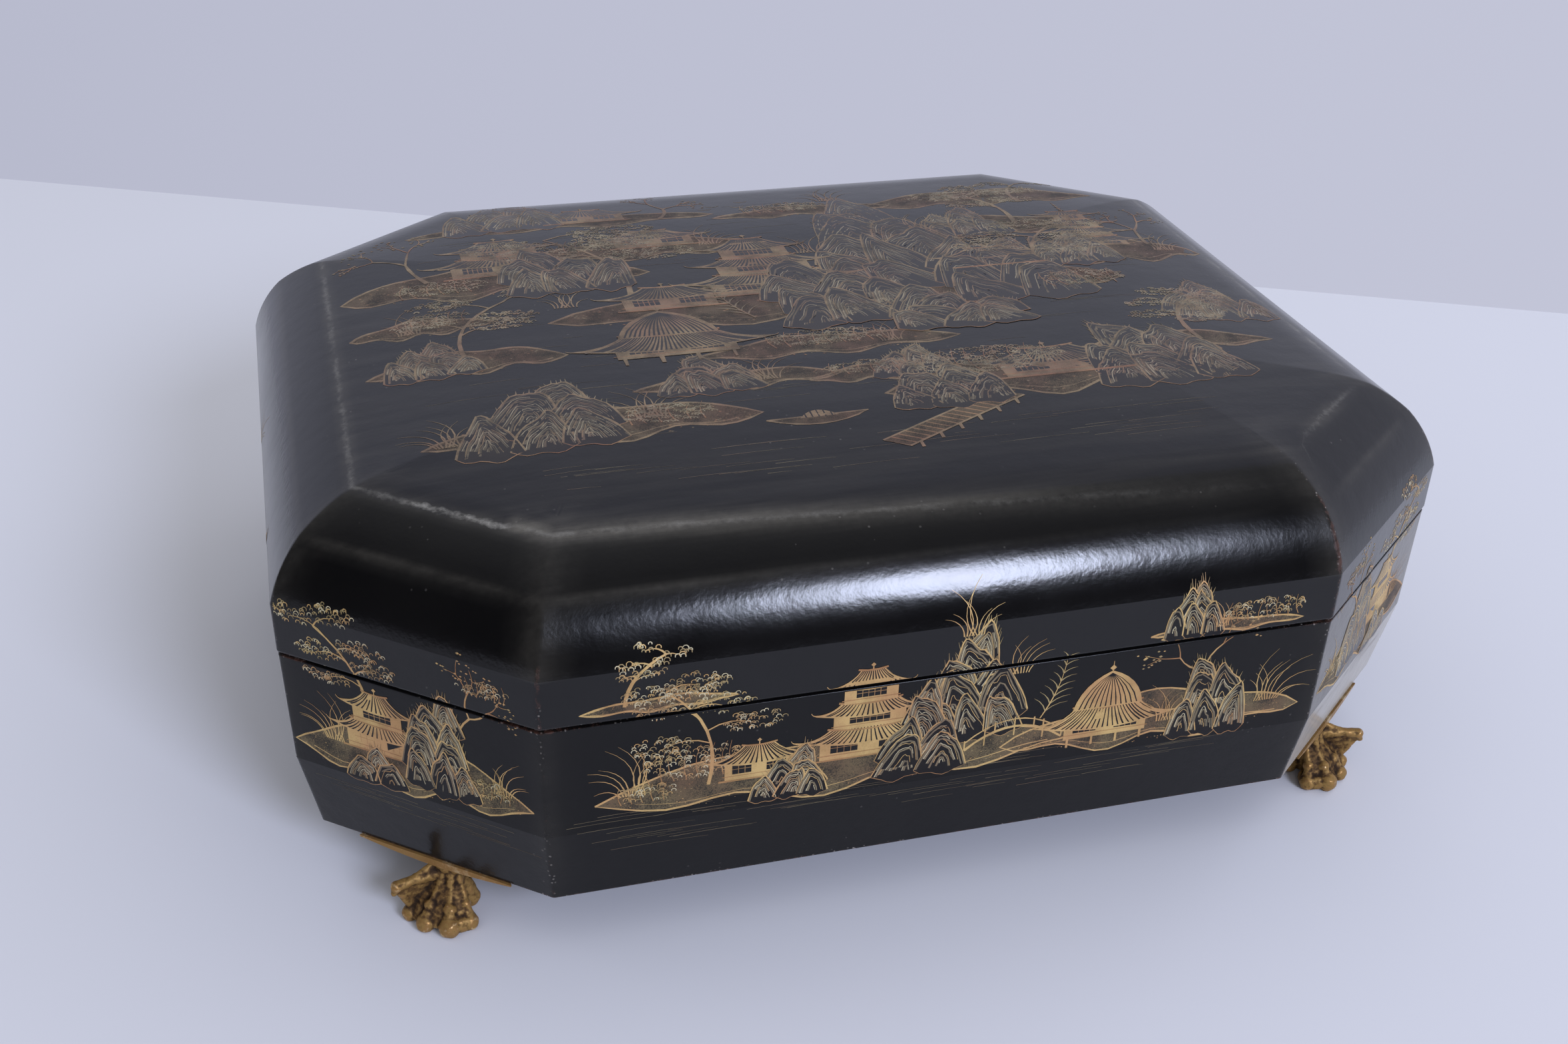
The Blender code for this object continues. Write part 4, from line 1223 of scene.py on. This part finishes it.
laid("lid_gilding", upper_pieces, lid_skin, "lid", SIDE_PAINTS)


# The gilding of the top. A wide river landscape in the same gold and paints, but handled for
# two centuries: the gold has dulled to brown and the lines to grey green.

TOP_GRID = 0.005
TOP_REACH = (0.165, 0.135)
TOP_WEIGHT = 1.4
TOP_PAINTS = [
    gilt("top_gold", (0.225, 0.160, 0.088), (0.085, 0.060, 0.037), metal=0.15, rubbed=0.9),
    gilt("top_outline", (0.265, 0.150, 0.075), (0.085, 0.052, 0.032), metal=0.15, rubbed=0.9),
    gilt("top_pale_line", (0.255, 0.215, 0.140), (0.085, 0.070, 0.048), metal=0.05,
         rubbed=0.9, russet=0.4),
    gilt("top_ink", (0.013, 0.010, 0.008), (0.022, 0.017, 0.013), metal=0.0, roughness=0.22,
         relief=0.05, ior=1.42),
    gilt("top_ground", (0.118, 0.084, 0.050), (0.036, 0.028, 0.020), rubbed=1.0, stipple=0.4),
    gilt("top_water", (0.12, 0.10, 0.065), (0.04, 0.035, 0.026), metal=0.1, rubbed=0.9),
    gilt("top_leaf", (0.21, 0.17, 0.10), (0.07, 0.058, 0.036), metal=0.1, rubbed=0.9),
    gilt("top_stone", (0.125, 0.098, 0.062), (0.050, 0.040, 0.027), metal=0.1, rubbed=0.9),
]
TOP_SCENE = (
    (0, ripples, 0, 12, 1.0, False, 270, 190, 130),
    (0, ripples, 0, -103, 1.0, False, 210, 18, 40),
    (0, island, -72, 98, 1.8, False, 66, 9, 90),
    (1, rock, -94, 98, 1.7, False, 27, 20, 3),
    (1, hall, -62, 99, 1.7, False, 22, 1, 3),
    (1, bare_tree, -34, 97, 1.7, False, 18, 0.3, 3, 5),
    (0, birds, -8, 106, 1.8, False, 5),
    (0, island, 96, 92, 1.9, False, 52, 11, 110),
    (1, pine, 112, 86, 1.7, False, 15, 0.3, 5),
    (1, shrub, 92, 94, 1.9, False, 16, 6),
    (0, island, -104, 42, 2.1, False, 52, 15, 170),
    (1, bare_tree, -128, 50, 2.1, True, 23, 0.3, 3, 5),
    (1, hall, -100, 50, 2.1, False, 23, 2, 3),
    (2, rock, -80, 32, 1.9, False, 24, 20, 3),
    (2, shrub, -124, 38, 2.0, False, 16, 6),
    (0, island, 14, 4, 2.3, False, 92, 18, 420),
    (1, rock, 40, 10, 2.4, False, 29, 42, 6),
    (1, grass, 36, 104, 2.0, False, 9, 11, 1.1),
    (1, grass, 62, 62, 2.0, False, 8, 11, 0.9, 0.5),
    (1, pine, -62, 14, 2.3, True, 29, 0.3, 6),
    (2, hall, -8, 14, 2.3, False, 26, 3, 3),
    (2, rock, 78, -6, 2.1, False, 25, 27, 4),
    (2, hall, 78, 22, 1.8, False, 22, 1, 3),
    (2, hall, -48, 8, 2.0, False, 21, 1, 3),
    (3, rock, 12, -14, 2.2, False, 28, 24, 4),
    (3, fern, -22, -6, 2.0, True, 15, 0.3, 8),
    (3, kiosk, -54, -30, 2.3, False, 24, 4),
    (4, rock, 48, -26, 1.9, False, 27, 13, 3),
    (3, shrub, 104, -2, 2.0, False, 16, 7),
    (0, island, 124, 26, 2.0, False, 38, 13, 90),
    (1, tower, 124, 34, 2.3, False, 21, 4),
    (1, bare_tree, 144, 34, 1.7, False, 22, 0.1, 3, 5),
    (2, rock, 112, 20, 1.7, False, 22, 16, 3),
    (1, grass, 148, 28, 1.8, False, 9, 12, 0.9, 0.3),
    (2, pine, 96, 4, 2.1, False, 25, 0.3, 6),
    (3, shrub, 26, -12, 2.1, False, 18, 6),
    (1, grass, -84, 16, 2.0, True, 8, 11, 1.0),
    (0, island, -122, -22, 1.9, False, 34, 10, 70),
    (1, pine, -122, -18, 2.0, False, 22, 0.4, 5),
    (1, rock, -132, -26, 1.8, False, 18, 12, 3),
    (0, island, 8, -58, 1.7, False, 30, 7, 50),
    (1, shrub, 4, -56, 1.8, False, 16, 5),
    (1, rock, 18, -60, 1.7, False, 17, 11, 3),
    (0, island, -90, -76, 2.0, False, 52, 12, 130),
    (1, rock, -104, -82, 2.0, False, 26, 19, 3),
    (1, grass, -72, -72, 2.0, True, 10, 12, 1.0),
    (1, shrub, -66, -76, 1.9, False, 16, 6),
    (1, grass, -134, -76, 1.8, True, 9, 11, 1.0, 0.4),
    (0, island, 64, -72, 2.1, False, 58, 14, 190),
    (1, shrub, 44, -64, 2.1, False, 26, 9),
    (1, rock, 100, -80, 2.1, False, 27, 21, 4),
    (1, hall, 66, -70, 2.1, False, 25, 1, 3),
    (2, rock, 26, -82, 1.8, False, 22, 14, 3),
    (2, jetty, 46, -82, 1.9, True, 24, 0.5),
    (1, boat, -22, -84, 2.2, False, 15),
    (0, island, -46, 62, 2.0, False, 48, 10, 170),
    (1, shrub, -60, 66, 2.0, False, 18, 6),
    (1, hall, -42, 66, 1.8, False, 21, 1, 3),
    (1, grass, -22, 64, 1.9, False, 9, 11, 1.0, 0.3),
    (0, island, 90, 58, 2.0, False, 46, 10, 150),
    (1, pine, 100, 62, 1.8, True, 22, 0.4, 6),
    (1, rock, 78, 54, 1.8, False, 20, 14, 3),
    (0, island, -4, -34, 2.0, False, 46, 8, 120),
    (1, shrub, -2, -32, 2.0, False, 22, 6),
    (1, grass, 18, -34, 1.9, True, 8, 10, 1.0),
    (0, island, 112, -56, 1.8, False, 40, 8, 110),
    (1, pine, 122, -54, 1.8, False, 20, 0.4, 6),
    (0, island, -40, -54, 1.8, False, 38, 8, 100),
    (1, rock, -50, -58, 1.8, False, 20, 13, 3),
    (1, grass, -30, -54, 1.8, False, 9, 11, 1.0),
    (1, grass, -138, 8, 1.8, True, 9, 11, 1.0),
    (0, island, -134, 10, 1.8, False, 26, 8, 60),
    (1, shrub, -128, 14, 1.8, False, 12, 5),
    (1, grass, 116, -82, 1.8, False, 9, 11, 1.0, 0.3),
    (1, grass, 12, 48, 2.0, True, 8, 11, 0.9),
    (0, island, 22, 92, 1.8, False, 40, 7, 90),
    (1, shrub, 16, 94, 1.9, False, 18, 6),
    (1, rock, 140, -36, 1.9, False, 21, 15, 3),
    (1, grass, 132, -30, 1.8, True, 9, 10, 1.0),
)


def from_above(point):
    """How a point of the top's painting meets the lid."""
    return Vector((point[0], point[1], top_z + RAY_START)), Vector((0, 0, 1))


def grid(reach):
    count = int(reach / TOP_GRID)
    return [step * TOP_GRID for step in range(-count, count + 1)]


top_pieces = []
for points, paint, level in painted(TOP_SCENE, False, 21, TOP_WEIGHT):
    for piece in sliced(points, 0, grid(TOP_REACH[0])):
        for part in sliced(piece, 1, grid(TOP_REACH[1])):
            top_pieces.append((part, paint, level, from_above))
laid("top_gilding", top_pieces, lid_skin, "lid", TOP_PAINTS)


# The lining and the bottom. Thin boards stand a little above the seam and guide the lid.
# They have one plain coat of dark lacquer, duller than the outside.


def coat(starts, material):
    """Lacquer the solids whose names start so."""
    for node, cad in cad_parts.items():
        if node.startswith(starts):
            cad.data.materials.clear()
            cad.data.materials.append(material)


coat(("lining_", "base_bottom"), lacquer("inner_lacquer", (0.016, 0.011, 0.010), 0.42, haze=0.12))


# The feet. Each is a webbed claw carved from one piece of wood with its leaf-shaped flange,
# gilded over a red ground. The gold is painted dark in the hollows and bright on knuckles and
# pads: partly grime and rubbed gold, partly painted shade and painted highlights.

FOOT_EDGE_DEPTH = 0.0064
FOOT_GAP = 0.0003
FOOT_SAWN = 0.0006
FLANGE_LENGTH = 0.054
FLANGE_DEPTH = 0.019
FLANGE_THICKNESS = 0.0024
FLANGE_TIP = 0.0005
FLANGE_PROUD = 0.0004
FLANGE_SECTIONS = 25

ANKLE_SETBACK = 0.006
ANKLE_SHIFT = 0.002
ANKLE_HEIGHT = 0.0150
ANKLE_RADIUS = 0.0040
ANKLE_TOP_RADIUS = 0.0062
SOLE_REACH, SOLE_HEIGHT, SOLE_RADIUS = 0.0006, 0.0044, 0.0046
HEEL_ANGLE, HEEL_REACH, HEEL_HEIGHT, HEEL_RADIUS = 120, 0.0044, 0.0034, 0.0033
HEEL_NECK_RADIUS = 0.0030

# Each toe: angle from straight outwards, reach, and the radii of its knuckle and its pad.
# A share says how far along the reach of its toe a part lies.
TOES = ((54, 0.0120, 0.0017, 0.0028), (26, 0.0138, 0.0021, 0.0034),
        (-8, 0.0136, 0.0020, 0.0030), (-38, 0.0144, 0.0018, 0.0027))
TENDON_SHARE, TENDON_HEIGHT, TENDON_RADIUS = 0.26, 0.0175, 0.0019
BEND_SHARE, BEND_HEIGHT, BEND_RADIUS = 0.45, 0.0118, 0.0012
KNUCKLE_SHARE, KNUCKLE_HEIGHT, TOE_RADIUS = 0.80, 0.0072, 0.0015
KNUCKLE_LENGTH = 0.0002
PAD_SHARE = 0.70
WEB_RADIUS = 0.0011
PAD_WEB_RADII = (0.0024, 0.0028)

CLAW_ANGLE, CLAW_REACH, CLAW_HEIGHT, CLAW_RADIUS = -33, 0.0185, 0.0150, 0.0018
CLAW_ROOT_REACH, CLAW_ROOT_RADIUS = 0.002, 0.0026
CLAW_BEND_SHARE, CLAW_BEND_RISE, CLAW_BEND_RADIUS = 0.72, 0.0004, 0.0015
NAIL_REACH, NAIL_DROP = 0.0008, 0.0020
CLAW_SKIN_ANGLE, CLAW_SKIN_REACH, CLAW_SKIN_DROP = -39, 0.0035, 0.0004
CLAW_SKIN_ROOT_RADIUS = 0.0016
CLAW_WEB_RISE = 0.0030

FOOT_GRAIN = 0.00030
FOOT_FACETS = 0.35
CHISEL_DEPTH = 0.0006
CHISEL_SIZE = 0.0020

SHARP_ANGLE = math.radians(50)

# How far a point stands proud where the gold is painted brightest, as a painted highlight, the
# most of it that counts, and the share of it that the smooth flange is given instead
FULL_RELIEF = 0.00035
MOST_RELIEF = 1.2
FLANGE_RELIEF = 0.55
FLANGE_MARGIN = 0.0002
SMOOTHINGS = 5

# The tones of the gilding, from the hollows up to the knuckles and pads: painted shade in the
# hollows and painted highlights on the knuckles and pads, over grime and rubbed gold
FOOT_TONES_WITH_PAINTED_SHADE = ((0.30, (0.018, 0.010, 0.006, 1)), (0.42, (0.038, 0.021, 0.010, 1)),
              (0.52, (0.110, 0.060, 0.022, 1)), (0.62, (0.255, 0.155, 0.052, 1)),
              (0.74, (0.300, 0.165, 0.060, 1)), (0.88, (0.62, 0.48, 0.27, 1)))

ball = bmesh.new()
bmesh.ops.create_uvsphere(ball, u_segments=20, v_segments=12, radius=1)
BALL_POINTS = [vertex.co.copy() for vertex in ball.verts]
ball.free()


def foot_point(angle, reach, height):
    """A place on the fan of the foot, round the upright line of its ankle."""
    turn = math.radians(angle)
    return Vector((ANKLE_SHIFT + reach * math.sin(turn),
                   reach * math.cos(turn) - ANKLE_SETBACK, height))


def add_limb(bm, *balls):
    """The tight skin round some balls, each given as its centre and radius."""
    cloud = [bm.verts.new(centre + point * radius)
             for centre, radius in balls for point in BALL_POINTS]
    hull = bmesh.ops.convex_hull(bm, input=cloud)
    spare = {item for item in hull["geom_interior"] + hull["geom_unused"]
             if isinstance(item, bmesh.types.BMVert)}
    bmesh.ops.delete(bm, geom=list(spare), context="VERTS")


def flange_leaf():
    """The leaf under the casket: thick at the ankle and thin at its tips."""
    high = underside_z - FOOT_GAP
    sections = []
    for section in range(FLANGE_SECTIONS):
        across = 2 * section / (FLANGE_SECTIONS - 1) - 1
        leaf = math.cos(across * math.pi / 2)
        back = FLANGE_PROUD - FLANGE_TIP - (FLANGE_DEPTH - FLANGE_PROUD) * leaf
        low = high - FLANGE_TIP - (FLANGE_THICKNESS - FLANGE_TIP) * leaf
        x = across * FLANGE_LENGTH / 2
        sections.append([(x, FLANGE_PROUD, low), (x, FLANGE_PROUD, high),
                         (x, back, high), (x, back, low)])
    return joined(sections, closed=False)[0]


def paw_limbs():
    """The paw before it is cut: ankle, heel, bent toes, a raised claw and the webs between."""
    bm = bmesh.new()
    top = underside_z - FOOT_GAP - FLANGE_THICKNESS
    ankle = foot_point(0, 0, ANKLE_HEIGHT)
    sole = foot_point(0, SOLE_REACH, SOLE_HEIGHT)
    heel = foot_point(HEEL_ANGLE, HEEL_REACH, HEEL_HEIGHT - FOOT_SAWN)
    add_limb(bm, (ankle, ANKLE_RADIUS), (foot_point(0, 0, top), ANKLE_TOP_RADIUS))
    add_limb(bm, (ankle, ANKLE_RADIUS), (sole, SOLE_RADIUS))
    add_limb(bm, (ankle, HEEL_NECK_RADIUS), (heel, HEEL_RADIUS))
    knuckles, bends, pads = [], [], []
    for angle, reach, knuckle_radius, pad_radius in TOES:
        tendon = foot_point(angle, reach * TENDON_SHARE, TENDON_HEIGHT)
        bend = foot_point(angle, reach * BEND_SHARE, BEND_HEIGHT)
        knuckle = foot_point(angle, reach * KNUCKLE_SHARE, KNUCKLE_HEIGHT)
        pad_root = foot_point(angle, reach * PAD_SHARE, pad_radius - FOOT_SAWN)
        pad = foot_point(angle, reach, pad_radius - FOOT_SAWN)
        add_limb(bm, (tendon, TENDON_RADIUS), (bend, BEND_RADIUS))
        add_limb(bm, (bend, BEND_RADIUS), (knuckle, TOE_RADIUS))
        add_limb(bm, (knuckle, knuckle_radius),
                 (knuckle + Vector((0, 0, KNUCKLE_LENGTH)), knuckle_radius))
        add_limb(bm, (knuckle, knuckle_radius * 0.72), (pad, pad_radius * 0.8))
        add_limb(bm, (pad, pad_radius), (pad_root, pad_radius * 0.9))
        knuckles.append(knuckle)
        bends.append(bend)
        pads.append(pad)
    for i in range(len(TOES) - 1):
        add_limb(bm, *((row[j], WEB_RADIUS) for row in (bends, knuckles, pads) for j in (i, i + 1)))
    add_limb(bm, *zip(pads[:2], PAD_WEB_RADII))
    root = foot_point(CLAW_ANGLE, CLAW_ROOT_REACH, ANKLE_HEIGHT)
    tip = foot_point(CLAW_ANGLE, CLAW_REACH, CLAW_HEIGHT)
    bend = root.lerp(tip, CLAW_BEND_SHARE) + Vector((0, 0, CLAW_BEND_RISE))
    nail = foot_point(CLAW_ANGLE, CLAW_REACH + NAIL_REACH, CLAW_HEIGHT - NAIL_DROP)
    high = foot_point(CLAW_SKIN_ANGLE, CLAW_SKIN_REACH, top - CLAW_SKIN_DROP)
    add_limb(bm, (root, CLAW_ROOT_RADIUS), (bend, CLAW_BEND_RADIUS))
    add_limb(bm, (bend, CLAW_BEND_RADIUS), (tip, CLAW_RADIUS))
    add_limb(bm, (tip, CLAW_RADIUS * 0.8), (nail, CLAW_RADIUS * 0.6))
    add_limb(bm, (high, BEND_RADIUS), (bend, WEB_RADIUS), (root, CLAW_SKIN_ROOT_RADIUS))
    under = pads[-1] + Vector((0, 0, CLAW_WEB_RISE))
    add_limb(bm, *((point, WEB_RADIUS) for point in (bend, tip, knuckles[-1], bends[-1], under)))
    return bm


def carve(body, name, kind, **settings):
    """One step of the carving, with its settings."""
    modifier = body.modifiers.new(name, kind)
    for setting, value in settings.items():
        setattr(modifier, setting, value)


paw = to_object("paw_pattern", paw_limbs())
bm = bmesh.new()
bmesh.ops.create_cube(bm, size=1)
socket_z = underside_z - FOOT_GAP - FLANGE_THICKNESS / 2
bmesh.ops.transform(bm, verts=bm.verts, matrix=Matrix.Translation((0, 0, socket_z / 2))
                    @ Matrix.Diagonal((FLANGE_LENGTH * 2, FLANGE_LENGTH * 2, socket_z, 1)))
sawn = to_object("paw_span", bm)
leaf = to_object("paw_flange", flange_leaf())
chisel = bpy.data.textures.new("chisel", "CLOUDS")
chisel.noise_scale = CHISEL_SIZE
chisel.noise_depth = 2
carve(paw, "skin", "REMESH", mode="VOXEL", voxel_size=FOOT_GRAIN)
carve(paw, "carved", "SMOOTH", factor=0.5, iterations=5)
carve(paw, "chisel", "DISPLACE", texture=chisel, strength=CHISEL_DEPTH, mid_level=0.5)
carve(paw, "facets", "DECIMATE", ratio=FOOT_FACETS)
carve(paw, "paw_span", "BOOLEAN", operation="INTERSECT", solver="EXACT", object=sawn)
carve(paw, "paw_flange", "BOOLEAN", operation="UNION", solver="EXACT", object=leaf)
graph = bpy.context.evaluated_depsgraph_get()
foot_mesh = bpy.data.meshes.new_from_object(paw.evaluated_get(graph))
for piece in (paw, sawn, leaf):
    bpy.data.objects.remove(piece)


def raised_share(mesh):
    """How far each point of the carving stands out from the points around it."""
    flange_z = underside_z - FOOT_GAP - FLANGE_THICKNESS - FLANGE_MARGIN
    bm = bmesh.new()
    bm.from_mesh(mesh)
    bm.normal_update()
    amounts = []
    smooth = [vertex.co.copy() for vertex in bm.verts]
    bm.verts.ensure_lookup_table()
    for smoothing in range(SMOOTHINGS):
        smooth = [sum((smooth[edge.other_vert(vertex).index] for edge in vertex.link_edges),
                      smooth[vertex.index]) / (len(vertex.link_edges) + 1) for vertex in bm.verts]
    for vertex in bm.verts:
        proud = (vertex.co - smooth[vertex.index]).dot(vertex.normal) / FULL_RELIEF
        amounts.append(FLANGE_RELIEF if vertex.co.z > flange_z
                       else max(-MOST_RELIEF, min(MOST_RELIEF, proud)))
    bm.free()
    return amounts


layer = foot_mesh.attributes.new("raised", "FLOAT", "POINT")
layer.data.foreach_set("value", raised_share(foot_mesh))
for polygon in foot_mesh.polygons:
    polygon.use_smooth = True
foot_mesh.set_sharp_from_angle(angle=SHARP_ANGLE)

foot_gilding = Material("foot_gilding")
patch = foot_gilding.noise(330.0, detail=7.0, roughness=0.78)
grime = foot_gilding.noise(95.0, detail=3.0)
# The tone mixes patches and grime with painted shade in the hollows and a painted highlight where the
# carving stands out
grime_and_painted_shade = foot_gilding.maths("MULTIPLY_ADD", patch, 0.5, 0.095)
grime_and_painted_shade = foot_gilding.maths("MULTIPLY_ADD", grime, 0.35, grime_and_painted_shade)
grime_and_painted_shade = foot_gilding.maths("MULTIPLY_ADD", foot_gilding.mark("raised"), 0.38, grime_and_painted_shade)
tone = foot_gilding.node("ValToRGB", {"Fac": grime_and_painted_shade})
steps = tone.color_ramp.elements
steps[0].position, steps[0].color = FOOT_TONES_WITH_PAINTED_SHADE[0]
steps[1].position, steps[1].color = FOOT_TONES_WITH_PAINTED_SHADE[-1]
for position, colour in FOOT_TONES_WITH_PAINTED_SHADE[1:-1]:
    steps.new(position).color = colour
metal = foot_gilding.spread(grime_and_painted_shade, 0.45, 0.72, 0.05, 0.6)
matt = foot_gilding.spread(grime_and_painted_shade, 0.40, 0.75, 0.75, 0.30)
foot_gilding.finish(patch, 0.5, 0.0003, Base_Color=tone.outputs[0], Metallic=metal,
                    Roughness=matt, Specular_IOR_Level=0.10)

edge = corners_at(FOOT_EDGE_DEPTH)
for k in (1, 3, 5, 7):
    where = SIDES[k]
    middle = (edge[k] + edge[(k + 1) % 8]) / 2
    out = -INTO[k]
    along = ALONG[k] if ALONG[k].x * out.x < 0 else -ALONG[k]
    mesh = foot_mesh.copy()
    mesh.transform(Matrix(((along.x, out.x, 0, middle.x), (along.y, out.y, 0, middle.y),
                           (0, 0, 1, 0), (0, 0, 0, 1))))
    if along.cross(out) < 0:
        mesh.flip_normals()
    foot = new_object(f"paw_{where}", mesh, foot_gilding.made)
    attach(foot, "base")
    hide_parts(f"foot_{where}")


# The counter boxes and trays. Thin boards, the boxes lacquered black and the trays a dark
# red brown. They lie loose in the casket, side by side and stacked.

coat(("counter_box_", "counter_lid_"),
     lacquer("counter_lacquer", (0.0045, 0.0038, 0.0038), 0.24, haze=0.05))
coat("counter_tray_", lacquer("tray_lacquer", (0.026, 0.008, 0.006), 0.32, haze=0.04))


# The gilding of the boxes and trays. Every lid has two border lines round a small landscape,
# and every tray a line round its floor and a sprig. It has hardly been touched by light.

BORDER_LINES = ((0.0042, MIDDLE * 1.3), (0.0058, FINE * 0.8))
TRAY_LINES = ((0.0060, MIDDLE),)
BOX_SCENE = (
    (0, ripples, 0, -12, 1.0, False, 54, 6, 12),
    (0, island, 0, -4, 1.0, False, 72, 13, 90),
    (1, pine, -22, 0, 0.9, True, 22, 0.3, 5),
    (1, hall, 6, -1, 0.95, False, 21, 2, 3),
    (2, rock, -8, -5, 0.9, False, 18, 17, 3),
    (2, rock, 24, -5, 0.8, False, 17, 10, 2),
    (1, grass, 31, -2, 0.9, False, 7, 10, 0.9, 0.3),
)
TALL_SCENE = (
    (0, ripples, 0, -42, 1.0, False, 46, 8, 12),
    (0, island, 0, -32, 1.1, False, 58, 14, 90),
    (1, rock, -8, -30, 1.1, False, 25, 36, 5),
    (1, grass, -8, 2, 1.1, False, 7, 10, 1.0),
    (1, bare_tree, 12, -28, 1.3, False, 23, 0.25, 3, 5),
    (2, kiosk, 15, -34, 1.1, False, 22, 4),
    (2, rock, -20, -36, 1.0, False, 18, 12, 3),
    (0, island, -4, 24, 0.9, False, 42, 7, 30),
    (1, tower, -8, 27, 1.0, False, 18, 4),
    (1, shrub, 8, 27, 1.0, False, 12, 4),
    (0, birds, 12, 46, 1.0, False, 4),
)
TRAY_SCENE = (
    (0, fern, -6, -14, 1.0, False, 28, 0.35, 10),
    (0, fern, -4, -14, 0.9, True, 24, 0.45, 9),
    (1, grass, -4, -15, 1.0, False, 9, 12, 1.2),
    (1, rock, 2, -18, 0.8, False, 18, 8, 2),
)

box_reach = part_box("counter_box_back_right")[1].x


def plan_outline(node, inset):
    """The outline of a box or tray from above, moved in by an inset, with its canted corner."""
    low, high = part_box(node)
    outline = [Vector(corner) for corner in (
        (low.x + inset, low.y + inset), (high.x - inset, low.y + inset),
        (high.x - inset, high.y - inset), (low.x + inset, high.y - inset))]
    for i in (1, 3, 5, 7):
        least = half_length - box_reach + inset
        kept = []
        for corner, here in enumerate(outline):
            before = outline[corner - 1]
            room = (here - CORNERS[i]).dot(INTO[i]) - least
            was = (before - CORNERS[i]).dot(INTO[i]) - least
            if (room < 0) != (was < 0):
                kept.append(before.lerp(here, was / (was - room)))
            if room >= 0:
                kept.append(here)
        outline = kept
    return outline


def border(node, lines):
    """Lines that run round a box or tray, at their insets."""
    pieces = []
    for inset, width in lines:
        outer, inner = plan_outline(node, inset), plan_outline(node, inset + width)
        for i in range(len(outer)):
            corners = (outer[i - 1], outer[i], inner[i], inner[i - 1])
            pieces.append(([tuple(corner) for corner in corners], PAINTS.index("gold"), 1))
    return pieces


for seed, node in enumerate(sorted(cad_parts)):
    if node.startswith("counter_lid_") or node.startswith("counter_tray_"):
        low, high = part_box(node)
        middle = (low + high) / 2
        if "tray" in node:
            scene, lines = TRAY_SCENE, TRAY_LINES
        else:
            scene = BOX_SCENE if high.x - low.x > high.y - low.y else TALL_SCENE
            lines = BORDER_LINES
        strokes = border(node, lines)
        for points, paint, level in painted(scene, bool(seed % 2), seed, 0.9):
            strokes.append(([(x + middle.x, y + middle.y) for x, y in points], paint, level))
        strokes = [(*stroke, from_above) for stroke in strokes]
        laid(f"gilding_{node}", strokes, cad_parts[node], node, SIDE_PAINTS)
